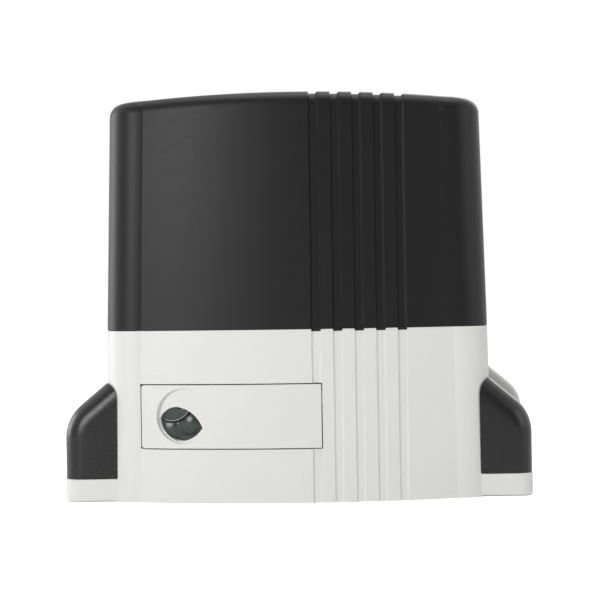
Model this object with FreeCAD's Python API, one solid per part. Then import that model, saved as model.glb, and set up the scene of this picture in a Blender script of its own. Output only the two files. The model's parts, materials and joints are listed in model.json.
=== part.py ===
import FreeCAD, Part
import math
import os

from FreeCAD import Placement, Rotation
from FreeCAD import Vector as V

# A gear motor that drives a sliding gate through a rack on the gate's face.
# X runs to the right, Y to the rear and Z up, in millimetres. The origin is on the underside, midway
# between the two foundation holes. The front, with the release door, faces -Y; the pinion is behind.

# Body outline
overall_width = 330.0  # over the two feet
overall_height = 285.0  # at the middle of the crowned top
split_z = 120.0  # joint line between the housing and the cover
base_half_width = 137.0  # body without its feet, at the floor
split_half_width = 135.0
top_half_width = 131.0
front_setback = 47.0  # column fronts ahead of the line through the foundation holes
body_depth = 172.0  # column fronts to the rear wall, at the floor
front_bulge = 17.0  # front panel's middle ahead of the column fronts
lower_lean = 1.0  # front and rear draft of the housing
upper_lean = 2.5  # front and rear draft of the cover
column_radius = 24.5
crease_radius = 3.0
rear_corner_radius = 14.0
crown = 5.0  # drop of the top from its middle to its sides
top_edge_radius = 10.0
housing_wall = 3.5
cover_wall = 3.0
floor_low = 6.0
floor_high = 10.0
split_gap = 0.3

# Grooves over the front, the top and the rear
groove_first_x = 12.6
groove_pitch = 15.0
groove_count = 5
groove_width = 4.2
groove_depth = 1.5

# Feet and their caps
foot_front = 38.0  # ahead of the foundation holes
foot_cap_rear = 34.0  # behind the foundation holes
foot_rear = 96.0
foot_base_height = 16.0
foot_pocket_floor = 8.0
foot_slope_deg = 50.0  # from level to the slope's normal
foot_overlap = 10.0  # run of the feet into the body
cap_shoulder_z = 44.5
cap_arc_radius = 30.0
hump_shoulder_z = 57.5
hump_arc_radius = 24.0
hump_edge_radius = 3.0
foot_corner_radius = 11.0
foot_edge_bevel = 1.2
cap_wall = 2.5
cap_gap = 0.4
foundation_spacing = 300.0
foundation_hole_radius = 5.5
levelling_screw_radius = 4.0
levelling_screw_offset = 22.0

# Release door
door_left = -109.5
door_right = 15.0
door_low = 38.0
door_high = 82.0
door_gap = 0.6
door_wall = 3.0
door_corner_radius = 2.0
door_barrel_radius = 6.0
door_pin_radius = 1.5
pocket_back_y = -24.0
pocket_wall = 3.0
pocket_right = 24.0
bay_wall = 2.4
cam_radius = 9.0
cam_offset = 4.0
cam_start_deg = -35.0
cam_low = 67.0
cam_high = 77.0
cam_clearance = 0.45

# Lock in the door
scoop_x = -80.0
scoop_z = 60.5
scoop_radius = 19.3
scoop_depth = 4.0
scoop_skin = 1.4
lock_disc_radius = 18.2
lock_disc_thickness = 3.4
lock_plug_radius = 5.5
lock_barrel_radius = 8.0
lock_barrel_length = 10.0
lock_disc_offset = 9.5  # key aperture's and plug's distance from the disc's axis
lock_clearance = 0.3
plug_deg = 235.0  # round the scoop, in the window
cover_turn_deg = 130.0  # turn of the lock cover that brings its aperture over the plug
flap_height = 1.2
flap_radius = 16.0
dome_height = 0.9

# Gear train
shaft_x = -10.0
shaft_z = 72.0
wheel_y = 58.0
module_worm = 2.5
worm_pitch_radius = 12.5
wheel_teeth = 36
wheel_face = 18.0
mesh_thinning = 0.3
worm_length = 48.0
module_pinion = 4.0
pinion_teeth = 15
pinion_width = 28.0
pinion_gap = 3.0
shaft_radius = 12.5
pinion_seat_radius = 10.0
running = 0.05

# Motor
motor_radius = 40.0
motor_base_z = 128.0
motor_can_height = 98.0
motor_can_wall = 3.0
motor_shaft_radius = 6.0
air_gap = 1.5

# Values that follow from the ones above
wheel_pitch_radius = module_worm * wheel_teeth / 2
worm_x = shaft_x + wheel_pitch_radius + worm_pitch_radius
worm_lead = math.pi * module_worm
pinion_pitch_radius = module_pinion * pinion_teeth / 2
front_base_y = -front_setback
rear_base_y = body_depth - front_setback
X_AXIS = V(1, 0, 0)
Y_AXIS = V(0, 1, 0)
Z_AXIS = V(0, 0, 1)


def box(x0, x1, y0, y1, z0, z1):
    return Part.makeBox(x1 - x0, y1 - y0, z1 - z0, V(x0, y0, z0))


def rod(radius, start, length, axis=Z_AXIS):
    return Part.makeCylinder(radius, length, start, axis)


def ring(outer, inner, start, length, axis=Z_AXIS):
    return rod(outer, start, length, axis).cut(rod(inner, start, length, axis))


def joined(shapes):
    return shapes[0].fuse(shapes[1:]).removeSplitter()


def mirrored(shape):
    return shape.mirror(V(0, 0, 0), X_AXIS)


def write(name, *shapes):
    solids = [solid for shape in shapes for solid in shape.Solids]
    shape = solids[0] if len(solids) == 1 else Part.makeCompound(solids)
    shape.exportStep("parts/" + name + ".step")


def between(low, high, share):
    return low + (high - low) * share


# ---------------------------------------------------------------- body form


def section_at(z):
    """Half width, column front and rear wall of the body at a height."""
    if z <= split_z:
        share = z / split_z
        half = between(base_half_width, split_half_width, share)
        lean = lower_lean * share
    else:
        share = (z - split_z) / (overall_height - split_z)
        half = between(split_half_width, top_half_width, share)
        lean = lower_lean + upper_lean * share
    return half, front_base_y + lean, rear_base_y - lean


def panel_arc(z):
    """Centre and radius of the bulged front panel, and the centre of the crease that it runs into."""
    half, front, _ = section_at(z)
    crease_x = half - column_radius - 1.0
    radius = (crease_x**2 + front_bulge**2) / (2 * front_bulge) - crease_radius
    centre_y = front - front_bulge + radius
    return V(0, centre_y, z), radius, V(crease_x, front - crease_radius, z)


def front_surface_y(x, z):
    """Outer face of the bulged front panel."""
    centre, radius, _ = panel_arc(z)
    return centre.y - math.sqrt(radius**2 - x**2)


def outline(z, inset):
    """Closed plan outline of the body at a height, all tangent arcs and lines, moved in by the inset."""
    half, front, rear = section_at(z)
    panel_centre, panel_radius, crease = panel_arc(z)
    to_crease = (crease - panel_centre).normalize()
    meet = panel_centre + to_crease * (panel_radius - inset)
    turn = crease_radius + inset
    low = crease + V(0, turn, 0)
    middle = (meet - crease).normalize() + V(0, 1, 0)
    crease_mid = crease + middle.normalize() * turn
    corner = V(half - column_radius, front + column_radius, z)
    corner_r = column_radius - inset
    slant = math.sqrt(0.5)
    back = V(half - rear_corner_radius, rear - rear_corner_radius, z)
    back_r = rear_corner_radius - inset
    right = [
        ("arc", V(0, panel_centre.y - panel_radius + inset, z), None, meet),
        ("arc", meet, crease_mid, low),
        ("line", low, None, corner + V(0, -corner_r, 0)),
        (
            "arc",
            corner + V(0, -corner_r, 0),
            corner + V(slant, -slant, 0) * corner_r,
            corner + V(corner_r, 0, 0),
        ),
        ("line", corner + V(corner_r, 0, 0), None, back + V(back_r, 0, 0)),
        (
            "arc",
            back + V(back_r, 0, 0),
            back + V(slant, slant, 0) * back_r,
            back + V(0, back_r, 0),
        ),
    ]
    edges = []
    left_meet = V(-meet.x, meet.y, z)
    edges.append(Part.Arc(left_meet, right[0][1], meet).toShape())
    for kind, start, mid, end in right[1:]:
        if kind == "line":
            edges.append(Part.makeLine(start, end))
        else:
            edges.append(Part.Arc(start, mid, end).toShape())
    top = right[-1][3]
    edges.append(Part.makeLine(top, V(-top.x, top.y, z)))
    for kind, start, mid, end in reversed(right[1:]):
        a = V(-end.x, end.y, z)
        b = V(-start.x, start.y, z)
        if kind == "line":
            edges.append(Part.makeLine(a, b))
        else:
            edges.append(Part.Arc(a, V(-mid.x, mid.y, z), b).toShape())
    return Part.Wire(edges)


def body_form(z0, z1, inset=0.0):
    """Drafted solid of the body between two heights on one side of the split."""
    return Part.makeLoft([outline(z0, inset), outline(z1, inset)], True, True)


def crown_block(inset):
    """Everything under the crowned top, which is one arc across the body, moved down by the inset."""
    crown_radius = (top_half_width**2 + crown**2) / (2 * crown)
    centre_z = overall_height - crown_radius
    reach = crown_radius - inset
    half = 1.2 * top_half_width
    side_z = centre_z + math.sqrt(reach**2 - half**2)
    y = -body_depth
    left = V(-half, y, side_z)
    right = V(half, y, side_z)
    arc = Part.Arc(left, V(0, y, centre_z + reach), right).toShape()
    foot_right = V(half, y, 0)
    foot_left = V(-half, y, 0)
    sides = [Part.makeLine(right, foot_right), Part.makeLine(foot_right, foot_left)]
    wire = Part.Wire([arc] + sides + [Part.makeLine(foot_left, left)])
    return Part.Face(wire).extrude(V(0, 2 * body_depth, 0))


def cover_form(z0, inset=0.0):
    """The upper body with its crowned top and rounded top edge, moved in by the inset."""
    form = body_form(z0, overall_height + 2.0, inset).common(crown_block(inset))
    top = max(form.Faces, key=lambda face: face.CenterOfMass.z)
    return form.makeFillet(top_edge_radius - inset, top.Edges)


def groove_slabs():
    slabs = []
    for index in range(groove_count):
        x = groove_first_x + index * groove_pitch
        half = groove_width / 2
        slabs.append(box(x - half, x + half, -body_depth, body_depth, -5, overall_height + 5))
    return slabs


def lower_groove_cutter():
    core = body_form(0, split_z, groove_depth)
    return Part.makeCompound([slab.common(body_form(0, split_z)).cut(core) for slab in groove_slabs()])


def upper_groove_cutter():
    core = cover_form(split_z, groove_depth)
    above = box(-200, 200, -200, 200, split_z, overall_height + 5)
    return Part.makeCompound([slab.common(above).cut(core) for slab in groove_slabs()])


# ---------------------------------------------------------------- cover


side_screw_z = split_z + 9.0
side_screw_y = 60.0
side_screw_radius = 2.5
side_head_radius = 5.5
side_head_height = 3.0
side_recess_x = top_half_width
side_pad = 4.5


def upper_cover():
    """Moulded shell, open below, with a sunk slot on each side for the screw that holds it."""
    outer = cover_form(split_z + split_gap)
    inner = cover_form(split_z, cover_wall)
    y = side_screw_y
    recess_half = side_head_radius + 1.0
    pad_half = recess_half + cover_wall
    pad = box(side_recess_x - side_pad, split_half_width - 1, y - pad_half, y + pad_half,
              split_z + split_gap, side_screw_z + pad_half)
    recess = box(side_recess_x, split_half_width + 5, y - recess_half, y + recess_half,
                 split_z - 5, side_screw_z)
    recess_top = rod(recess_half, V(side_recess_x, y, side_screw_z), 20, X_AXIS)
    slot_half = side_screw_radius + 0.3
    x0 = side_recess_x - side_pad - 1
    slot = box(x0, side_recess_x + 5, y - slot_half, y + slot_half, split_z - 5, side_screw_z)
    slot_top = rod(slot_half, V(x0, y, side_screw_z), side_pad + 5, X_AXIS)
    cuts = [recess, recess_top, slot, slot_top]
    shell = outer.cut(inner).fuse([pad, mirrored(pad)])
    shell = shell.cut(cuts + [mirrored(cut) for cut in cuts])
    x0, x1, z1 = limit_box_span()
    notch = box(x0 - 0.6, x1 + 0.6, rear_base_y - 12, rear_base_y + 5, split_z - 5, z1 + 0.6)
    return shell.cut(upper_groove_cutter().Solids + [notch]).removeSplitter()


def cover_screws():
    """One screw on each side, through the cover's slot into the housing's tab."""
    y, z = side_screw_y, side_screw_z
    x = side_recess_x - side_pad - 5.5
    shank = rod(side_screw_radius, V(x, y, z), side_pad + 6.0, X_AXIS)
    head = rod(side_head_radius, V(side_recess_x + 0.3, y, z), side_head_height, X_AXIS)
    socket = box(side_recess_x + 1.8, side_recess_x + 5, y - side_head_radius - 1,
                 y + side_head_radius + 1, z - 0.7, z + 0.7)
    screw = shank.fuse(head).cut(socket)
    return screw, mirrored(screw)


def cover_gasket():
    """Soft strip in the channel round the housing's rim."""
    return rim_band(1.25, 2.75, split_z - 1.6, split_z)


def rim_band(inset_out, inset_in, z0, z1):
    return body_form(z0, z1, inset_out).cut(body_form(z0, z1, inset_in))


# ---------------------------------------------------------------- feet


def foot_profile(shoulder_z, radius, inset, z0):
    """Right foot seen from the front: upright side, large arc and a slope up into the body."""
    half = overall_width / 2
    slope = math.radians(foot_slope_deg)
    centre = V(half - radius, 0, shoulder_z)
    arc_radius = radius - inset
    arc_low = centre + V(arc_radius, 0, 0)
    arc_mid = centre + V(math.cos(slope / 2), 0, math.sin(slope / 2)) * arc_radius
    arc_high = centre + V(math.cos(slope), 0, math.sin(slope)) * arc_radius
    inner_x = base_half_width - foot_overlap
    run = (arc_high.x - inner_x) / math.sin(slope)
    peak = arc_high + V(-math.sin(slope), 0, math.cos(slope)) * run
    low_in = V(inner_x, 0, z0)
    low_out = V(arc_low.x, 0, z0)
    edges = [
        Part.makeLine(low_out, arc_low),
        Part.Arc(arc_low, arc_mid, arc_high).toShape(),
        Part.makeLine(arc_high, peak),
        Part.makeLine(peak, low_in),
        Part.makeLine(low_in, low_out),
    ]
    return Part.Face(Part.Wire(edges))


def foot_block(profile, y0, y1, front_radius, rear_radius):
    """A foot profile run front to rear, its outer edges rounded at each end."""
    block = profile.extrude(V(0, y1 - y0, 0))
    block.translate(V(0, y0, 0))
    for y, radius in ((y0, front_radius), (y1, rear_radius)):
        if radius > 0:
            block = block.makeFillet(radius, [e for e in block.Edges if is_outer(e, y, block)])
    return block


def is_outer(edge, y, block):
    """True for the side, arc and slope edges of one end of a foot."""
    ends = edge.BoundBox
    whole = block.BoundBox
    at_end = abs(ends.YMin - y) < 0.01 and abs(ends.YMax - y) < 0.01
    on_floor = ends.ZMax < whole.ZMin + 0.01
    on_body = ends.XMax < whole.XMin + 0.01
    return at_end and not on_floor and not on_body


def is_upright(edge, x_from, y):
    box_of = edge.BoundBox
    upright = box_of.XLength < 0.01 and box_of.YLength < 0.01
    return upright and box_of.XMin > x_from and abs(box_of.YMin - y) < 0.01


def right_foot_cap():
    """Cap over the front of the foot, open below, behind and towards the body."""
    z0 = foot_base_height + cap_gap
    y1 = foot_cap_rear - cap_gap
    shell = foot_profile(cap_shoulder_z, cap_arc_radius, 0, z0)
    hollow = foot_profile(cap_shoulder_z, cap_arc_radius, cap_wall, z0 - 5)
    outer = foot_block(shell, -foot_front, y1, foot_corner_radius, 0)
    inner = foot_block(hollow, -foot_front + cap_wall, y1 + 5, foot_corner_radius - cap_wall, 0)
    cap = outer.cut([inner, body_form(0, split_z, -cap_gap)])
    return max(cap.Solids, key=lambda solid: solid.Volume)


def right_foot():
    """Base of the foot and the hump behind the cap, with the pocket round the fixings."""
    half = overall_width / 2
    base = box(base_half_width - 30, half, -foot_front, foot_rear, 0, foot_base_height)
    corners = [e for e in base.Edges if is_upright(e, half - 5, -foot_front)]
    corners += [e for e in base.Edges if is_upright(e, half - 5, foot_rear)]
    base = base.makeFillet(foot_corner_radius, corners)
    outer_low = [e for e in base.Edges if e.BoundBox.ZMax < 0.01 and e.BoundBox.XMax > half - 14]
    base = base.makeChamfer(foot_edge_bevel, outer_low)
    shell = foot_profile(hump_shoulder_z, hump_arc_radius, 0, foot_base_height - 1)
    inside = foot_profile(hump_shoulder_z, hump_arc_radius, housing_wall, -1)
    hump = foot_block(shell, foot_cap_rear, foot_rear, hump_edge_radius, foot_corner_radius)
    hollow = foot_block(inside, foot_cap_rear + housing_wall, foot_rear - housing_wall, 0,
                        foot_corner_radius - housing_wall)
    pocket = box(base_half_width + 1, half - 4, -foot_front + 4, foot_cap_rear - 2,
                 foot_pocket_floor, foot_base_height + 1)
    return base.fuse(hump).cut([hollow, pocket])


def foot_holes():
    x = foundation_spacing / 2
    tools = [rod(foundation_hole_radius, V(x, 0, -1), foot_base_height)]
    for y in (-levelling_screw_offset, levelling_screw_offset):
        tools.append(rod(levelling_screw_radius + 0.05, V(x, y, -1), foot_base_height))
    return tools


def levelling_screws():
    """Hexagon-socket grub screws beside each foundation hole."""
    screws = []
    for side in (-1, 1):
        for y in (-levelling_screw_offset, levelling_screw_offset):
            centre = V(side * foundation_spacing / 2, y, 0.6)
            body = rod(levelling_screw_radius, centre, 15.0)
            screws.append(body.cut(hexagon(2.3, centre + V(0, 0, 11), 5.0)))
    return screws


def hexagon(radius, centre, height):
    points = [centre + V(radius * math.cos(a), radius * math.sin(a), 0)
              for a in [math.radians(60 * k) for k in range(7)]]
    return Part.Face(Part.makePolygon(points)).extrude(V(0, 0, height))


# ---------------------------------------------------------------- housing


def hinge_axis():
    x = door_right - 0.3 - door_barrel_radius
    return x, front_surface_y(x, 60) + door_barrel_radius + 0.05


def pocket_cavity():
    """Space behind the door, with a roofed bay at its hinge end for the cam."""
    gap = door_gap
    z0, z1 = door_low - gap / 2, door_high + gap / 2
    mouth = box(door_left - gap, door_right + gap / 2, -200, pocket_back_y, z0, z1)
    bay = box(door_right - 1, pocket_right, -200, pocket_back_y, z0, z1)
    return [mouth, bay.common(body_form(0, split_z, bay_wall))]


def pocket_block():
    wall = pocket_wall
    block = box(door_left - door_gap - wall, pocket_right + wall, -200, pocket_back_y + wall,
                door_low - wall - 0.3, door_high + wall + 0.3)
    return block.common(body_form(0, split_z, 1.0))


def underside():
    """Recess under the floor, crossed by ribs."""
    recess = body_form(0, floor_low, 6.0)
    recess.translate(V(0, 0, -0.001))
    ribs = []
    for x in (-90.0, -45.0, 0.0, 45.0, 90.0):
        ribs.append(box(x - 1.5, x + 1.5, -200, 200, -1, floor_low + 1))
    for y in (0.0, 40.0, 80.0):
        ribs.append(box(-200, 200, y - 1.5, y + 1.5, -1, floor_low + 1))
    entry = rod(cable_radius + 6, V(cable_x, cable_y, -1), 12)
    return recess.cut(ribs + [entry])


cable_x = -70.0
cable_y = 14.0
cable_radius = 12.0
grommet_wall = 2.5
seal_radius = 20.0
seal_width = 7.0
board_post_x = 100.0
board_post_y = -14.0
post_radius = 5.5
case_screw_places = [(-58.0, 45.0), (-58.0, 80.0), (62.0, 36.0), (62.0, 80.0)]
shelf_top = split_z


def limit_box_span():
    return shaft_x - 27.0, shaft_x + 27.0, split_z + 36.0


def lower_housing():
    """Cast tub with the feet, the door pocket, the seal boss, the shelf, posts and tabs."""
    outer = body_form(0, split_z - split_gap / 2)
    foot = right_foot()
    outer = outer.fuse([foot, mirrored(foot)])
    inner = body_form(floor_high, split_z + 1, housing_wall)
    shell = outer.cut([inner, underside()])
    wall_y = rear_base_y - housing_wall - 1.0
    boss = rod(seal_radius + 5, V(shaft_x, wall_y - 9, shaft_z), 10.5, Y_AXIS)
    x0, x1, _ = limit_box_span()
    shelf = box(x0 - 8, x1 + 8, rear_base_y - 27, wall_y + 2, shelf_top - 6, shelf_top)
    extras = [pocket_block(), boss, shelf]
    for x in (x0, x1):
        extras.append(gusset(x - 1.5, 3.0, rear_base_y - 25, wall_y + 2, shelf_top - 6, 20.0))
    for side in (-1, 1):
        place = V(side * board_post_x, board_post_y, floor_high - 1)
        extras.append(rod(post_radius, place, split_z - floor_high + 1))
        tab_in, tab_out = side_recess_x - side_pad - 5.5, side_recess_x - side_pad - 0.5
        tab = box(tab_in, tab_out, side_screw_y - 9, side_screw_y + 9, split_z - 24, side_screw_z + 8)
        root = box(tab_in, split_half_width - 1, side_screw_y - 9, side_screw_y + 9,
                   split_z - 24, split_z - 2)
        extras += [tab, root] if side > 0 else [mirrored(tab), mirrored(root)]
    for x, y in case_screw_places:
        extras.append(rod(6.0, V(x, y, floor_low), floor_high - floor_low + 2.0))
    for x, y in transformer_screw_places():
        extras.append(rod(5.0, V(x, y, floor_low), core_z - transformer_foot - floor_low))
    shell = shell.fuse(extras)
    cuts = pocket_cavity() + foot_holes() + [mirrored(tool) for tool in foot_holes()]
    hx, hy = hinge_axis()
    cuts.append(rod(door_pin_radius + 0.02, V(hx, hy, door_low - 3.0), door_high - door_low + 6.0))
    cuts.append(rod(push_rod_radius + 0.06, V(shaft_x, pocket_back_y - 1, shaft_z), 10, Y_AXIS))
    cuts.append(rod(seal_radius + 0.02, V(shaft_x, wall_y - 10, shaft_z), seal_width + 1.0, Y_AXIS))
    cuts.append(rod(shaft_radius + 1.0, V(shaft_x, wall_y - 10, shaft_z), 30, Y_AXIS))
    cuts.append(rod(cable_radius + grommet_wall, V(cable_x, cable_y, -1), 20))
    screw = rod(side_screw_radius + 0.02, V(100, side_screw_y, side_screw_z), 30, X_AXIS)
    cuts += [screw, mirrored(screw)]
    for x, y in case_screw_places:
        cuts.append(rod(3.0, V(x, y, floor_low + 1), 20))
    for x, y in transformer_screw_places():
        cuts.append(rod(2.0, V(x, y, floor_low + 1), 12))
    for side in (-1, 1):
        cuts.append(rod(1.5, V(side * board_post_x, board_post_y, split_z - 12), 15))
    for x in limit_screw_xs():
        cuts.append(rod(1.5, V(x, limit_screw_y, shelf_top - 10), 15))
    cuts.append(rim_band(1.2, 2.8, split_z - 1.6, split_z))
    return shell.cut(cuts + lower_groove_cutter().Solids).removeSplitter()


def gusset(x, thickness, y_in, y_wall, z_top, drop):
    """Triangular rib under a shelf on the rear wall."""
    corners = [V(x, y_in, z_top), V(x, y_wall, z_top), V(x, y_wall, z_top - drop), V(x, y_in, z_top)]
    return Part.Face(Part.makePolygon(corners)).extrude(V(thickness, 0, 0))


def cable_grommet():
    """Rubber ring clipped round the cable hole in the floor, with a lip on each side."""
    outer = cable_radius + grommet_wall
    centre = V(cable_x, cable_y, 0)
    body = rod(outer - 0.05, centre + V(0, 0, 1.0), floor_high + 0.5)
    lip = rod(outer + 3, centre + V(0, 0, floor_high + 0.05), 2.0)
    return body.fuse(lip).cut(rod(cable_radius, centre, 40))


# ---------------------------------------------------------------- release door and lock


def lock_frame():
    """Place on the scoop's floor at its middle, its local Z out of the door along the floor's normal."""
    surface = front_surface_y(scoop_x, scoop_z)
    centre, _, _ = panel_arc(scoop_z)
    lean = math.asin(-scoop_x / (centre.y - surface))
    tilt = lean + math.asin(scoop_depth / (2 * scoop_radius))
    normal = V(-math.sin(tilt), -math.cos(tilt), 0)
    origin = V(scoop_x, surface, scoop_z) - normal * (scoop_depth / 2)
    right = V(math.cos(tilt), -math.sin(tilt), 0)
    matrix = FreeCAD.Matrix(right.x, 0, normal.x, origin.x,
                            right.y, 0, normal.y, origin.y,
                            0, 1, 0, origin.z,
                            0, 0, 0, 1)
    return Placement(matrix)


def placed(shape):
    """A shape drawn in the lock's frame, moved to the door."""
    copy = shape.copy()
    copy.Placement = lock_frame().multiply(copy.Placement)
    return copy


def polar(radius, degrees):
    a = math.radians(degrees)
    return V(radius * math.cos(a), radius * math.sin(a), 0)


def lens(height):
    """Window in the scoop's floor: three arcs that run out to a point and one along the scoop's rim."""
    rim = scoop_radius - 1.1
    left = polar(rim, 185)
    low = polar(rim, 252)
    top = V(-5.5, 6.3, 0)
    tip = V(13.6, -8.3, 0)
    edges = [
        Part.Arc(left, polar(rim, 218), low).toShape(),
        Part.Arc(low, V(6.5, -15.0, 0), tip).toShape(),
        Part.Arc(tip, V(5.7, 2.0, 0), top).toShape(),
        Part.Arc(top, V(-14.0, 3.5, 0), left).toShape(),
    ]
    face = Part.Face(Part.Wire(edges))
    face.translate(V(0, 0, -height / 2))
    return face.extrude(V(0, 0, height))


def lock_axis_point():
    """The disc turns about the scoop's middle, and the plug sits low in the window."""
    return polar(lock_disc_offset, plug_deg)


def release_door():
    """Door that is also the release handle: panel, hinge barrel with its cam, scoop and lock seat."""
    hx, hy = hinge_axis()
    outline_box = box(door_left, hx, -200, 0, door_low, door_high)
    corners = [e for e in outline_box.Edges if e.BoundBox.XMax < door_left + 0.1
               and e.BoundBox.YLength > 100]
    outline_box = outline_box.makeFillet(door_corner_radius, corners)
    skin = body_form(0, split_z).cut(body_form(0, split_z, door_wall))
    panel = skin.common(outline_box)
    height = door_high - door_low
    barrel = rod(door_barrel_radius, V(hx, hy, door_low), height)
    web = box(hx - 9, hx, front_surface_y(hx, 60) + 1.0, hy + 1.0, door_low, door_high)
    plate = placed(rod(scoop_radius + 1.2, V(0, 0, -scoop_skin), scoop_skin))
    seat_wall = placed(ring(scoop_radius + 1.2, scoop_radius, V(0, 0, -scoop_skin - 4.0), 12.0))
    seat_wall = seat_wall.common(body_form(0, split_z).common(box(-200, 0, -200, 0, door_low, door_high)))
    door = panel.fuse([barrel, web]).cut(placed(rod(scoop_radius, V(0, 0, -20), 40)))
    plate = plate.common(body_form(0, split_z).common(box(-200, 0, -200, 0, door_low, door_high)))
    door = door.fuse([plate, seat_wall])
    cage = placed(ring(lock_disc_radius + 0.3 + 1.8, lock_disc_radius + 0.3,
                       V(0, 0, -scoop_skin - lock_disc_thickness - 0.6), lock_disc_thickness + 0.6))
    door = door.fuse(cage.common(box(-200, 0, -200, 0, door_low, door_high)))
    back = placed(rod(lock_disc_radius + 2.1, V(0, 0, -scoop_skin - lock_disc_thickness - 2.6), 2.0))
    back = back.common(box(-200, 0, -200, 0, door_low, door_high))
    barrel_seat = placed(rod(lock_barrel_radius + 0.03, lock_axis_point() + V(0, 0, -40), 40))
    disc_pivot = placed(rod(2.0, V(0, 0, -scoop_skin - lock_disc_thickness - 1.0), 2.2))
    door = door.fuse(back.cut(barrel_seat)).fuse(disc_pivot)
    cuts = [placed(window_tool()), rod(door_pin_radius + running, V(hx, hy, 0), 200)]
    door = door.fuse(cam()).cut(cuts + lower_groove_cutter().Solids)
    return door.removeSplitter()


def window_tool():
    tool = lens(2 * scoop_skin + 0.5)
    tool.translate(V(0, 0, -0.25))
    return tool


def cam():
    """Eccentric quarter on the hinge barrel that pushes the release slider back as the door opens."""
    hx, hy = hinge_axis()
    start = math.radians(cam_start_deg)
    centre = V(hx + cam_offset * math.cos(start), hy + cam_offset * math.sin(start), cam_low)
    disc = rod(cam_radius, centre, cam_high - cam_low)
    return disc.common(box(hx - 10, hx + 30, centre.y - 0.4, hy + 30, 0, 200))


flap_centre = V(-10.5, 12.5, 0)


def lock_cover():
    """Disc under the scoop's skin: a raised flap on a domed face, and the key aperture under the skin."""
    top = -scoop_skin - lock_clearance
    body_top = top - flap_height
    base = rod(lock_disc_radius, V(0, 0, top - lock_disc_thickness + 0.9), lock_disc_thickness - 1.9)
    dome_edge = lock_disc_radius - 1.0
    dome_radius = (dome_edge**2 + dome_height**2) / (2 * dome_height)
    dome = Part.makeSphere(dome_radius, V(0, 0, body_top + dome_height - dome_radius))
    dome = dome.common(rod(dome_edge, V(0, 0, body_top - 0.2), flap_height))
    flap_round = rod(flap_radius, flap_centre + V(0, 0, body_top - 0.2), flap_height + 0.2)
    flap = rod(dome_edge, V(0, 0, body_top - 0.2), flap_height + 0.2).common(flap_round)
    shadow_line = ring(flap_radius + 0.5, flap_radius, flap_centre + V(0, 0, body_top - 0.1), 4.0)
    aperture = rod(lock_plug_radius - 0.5, polar(lock_disc_offset, plug_deg - cover_turn_deg)
                   + V(0, 0, -30), 60)
    pivot = rod(2.0 + running, V(0, 0, -30), 30 - scoop_skin - 1.9)
    return placed(base.fuse([dome.cut(shadow_line), flap]).cut([aperture, pivot]))


def lock_barrel():
    """Fixed cylinder of the lock, pressed into the door's rear plate."""
    base = -scoop_skin - lock_disc_thickness - 2.6 - (lock_barrel_length - 2.0)
    body = rod(lock_barrel_radius, lock_axis_point() + V(0, 0, base), lock_barrel_length - 0.3)
    return placed(body.cut(rod(lock_plug_radius + running, lock_axis_point() + V(0, 0, -40), 40)))


def lock_plug():
    """Turning core with its keyhole."""
    base = -scoop_skin - lock_disc_thickness - 2.6 - (lock_barrel_length - 2.0) - 2.5
    body = rod(lock_plug_radius, lock_axis_point() + V(0, 0, base), lock_barrel_length + 2.2)
    key = box(-0.8, 0.8, -3.6, 3.6, base + 5.0, 0)
    key.translate(lock_axis_point())
    return placed(body.cut(key))


def lock_tongue():
    """Plate on the plug's rear end that turns behind the pocket's edge."""
    base = -scoop_skin - lock_disc_thickness - 2.6 - (lock_barrel_length - 2.0) - 2.5
    centre = lock_axis_point() + V(0, 0, base - 2.0)
    plate = rod(6.5, centre, 2.0)
    arm = box(-4.0, 4.0, 0, 14.0, 0, 2.0)
    arm.translate(centre)
    return placed(plate.fuse(arm))


def door_pin():
    hx, hy = hinge_axis()
    return rod(door_pin_radius, V(hx, hy, door_low - 2.9), door_high - door_low + 5.8)


# ---------------------------------------------------------------- release linkage


push_rod_radius = 4.5
clutch_front_y = wheel_y + wheel_face / 2 + 0.4
clutch_thickness = 8.0
clutch_travel = cam_offset * (math.sin(math.radians(90 + cam_start_deg)) - math.sin(math.radians(cam_start_deg)))
cross_pin_radius = 2.0
cross_pin_y = clutch_front_y + clutch_thickness / 2


def cam_contact_y():
    hx, hy = hinge_axis()
    return hy + cam_offset * math.sin(math.radians(cam_start_deg)) + cam_radius


def release_slider():
    """Pressure plate against the cam and the push rod that runs into the hollow shaft."""
    y0 = cam_contact_y() + cam_clearance
    plate = box(shaft_x - 7, pocket_right - 1.5, y0, y0 + 3.0, shaft_z - 7, shaft_z + 7)
    end = cross_pin_y - cross_pin_radius - 0.2
    push = rod(push_rod_radius, V(shaft_x, y0 + 1.0, shaft_z), end - y0 - 1.0, Y_AXIS)
    return plate.fuse(push)


def clutch_ring():
    """Ring with three dogs in the worm wheel's hub."""
    body = ring(21.0, shaft_radius + 0.06, V(shaft_x, clutch_front_y, shaft_z), clutch_thickness, Y_AXIS)
    dogs = [dog(0.0, 4.4) for _ in range(1)]
    dogs = [turned(dogs[0], 120 * k) for k in range(3)]
    hole = rod(cross_pin_radius, V(shaft_x - 40, cross_pin_y, shaft_z), 80, X_AXIS)
    return body.fuse(dogs).cut(hole)


def dog(grow, reach):
    piece = box(shaft_x + 14.5 - grow, shaft_x + 20.0 + grow, clutch_front_y - reach - grow,
                clutch_front_y + 0.5, shaft_z - 3.5 - grow, shaft_z + 3.5 + grow)
    return piece


def turned(shape, degrees):
    copy = shape.copy()
    copy.rotate(V(shaft_x, 0, shaft_z), Y_AXIS, degrees)
    return copy


def clutch_pin():
    return rod(cross_pin_radius, V(shaft_x - 20.5, cross_pin_y, shaft_z), 41.0, X_AXIS)


# ---------------------------------------------------------------- gears


def involute_point(base_radius, radius, side, angle, y):
    """Point of an involute flank, counted from the tooth's middle line at the given angle."""
    pressure = math.acos(min(1.0, base_radius / radius))
    turn = math.tan(pressure) - pressure
    a = angle + side * turn
    return V(shaft_x + radius * math.cos(a), y, shaft_z + radius * math.sin(a))


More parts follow.
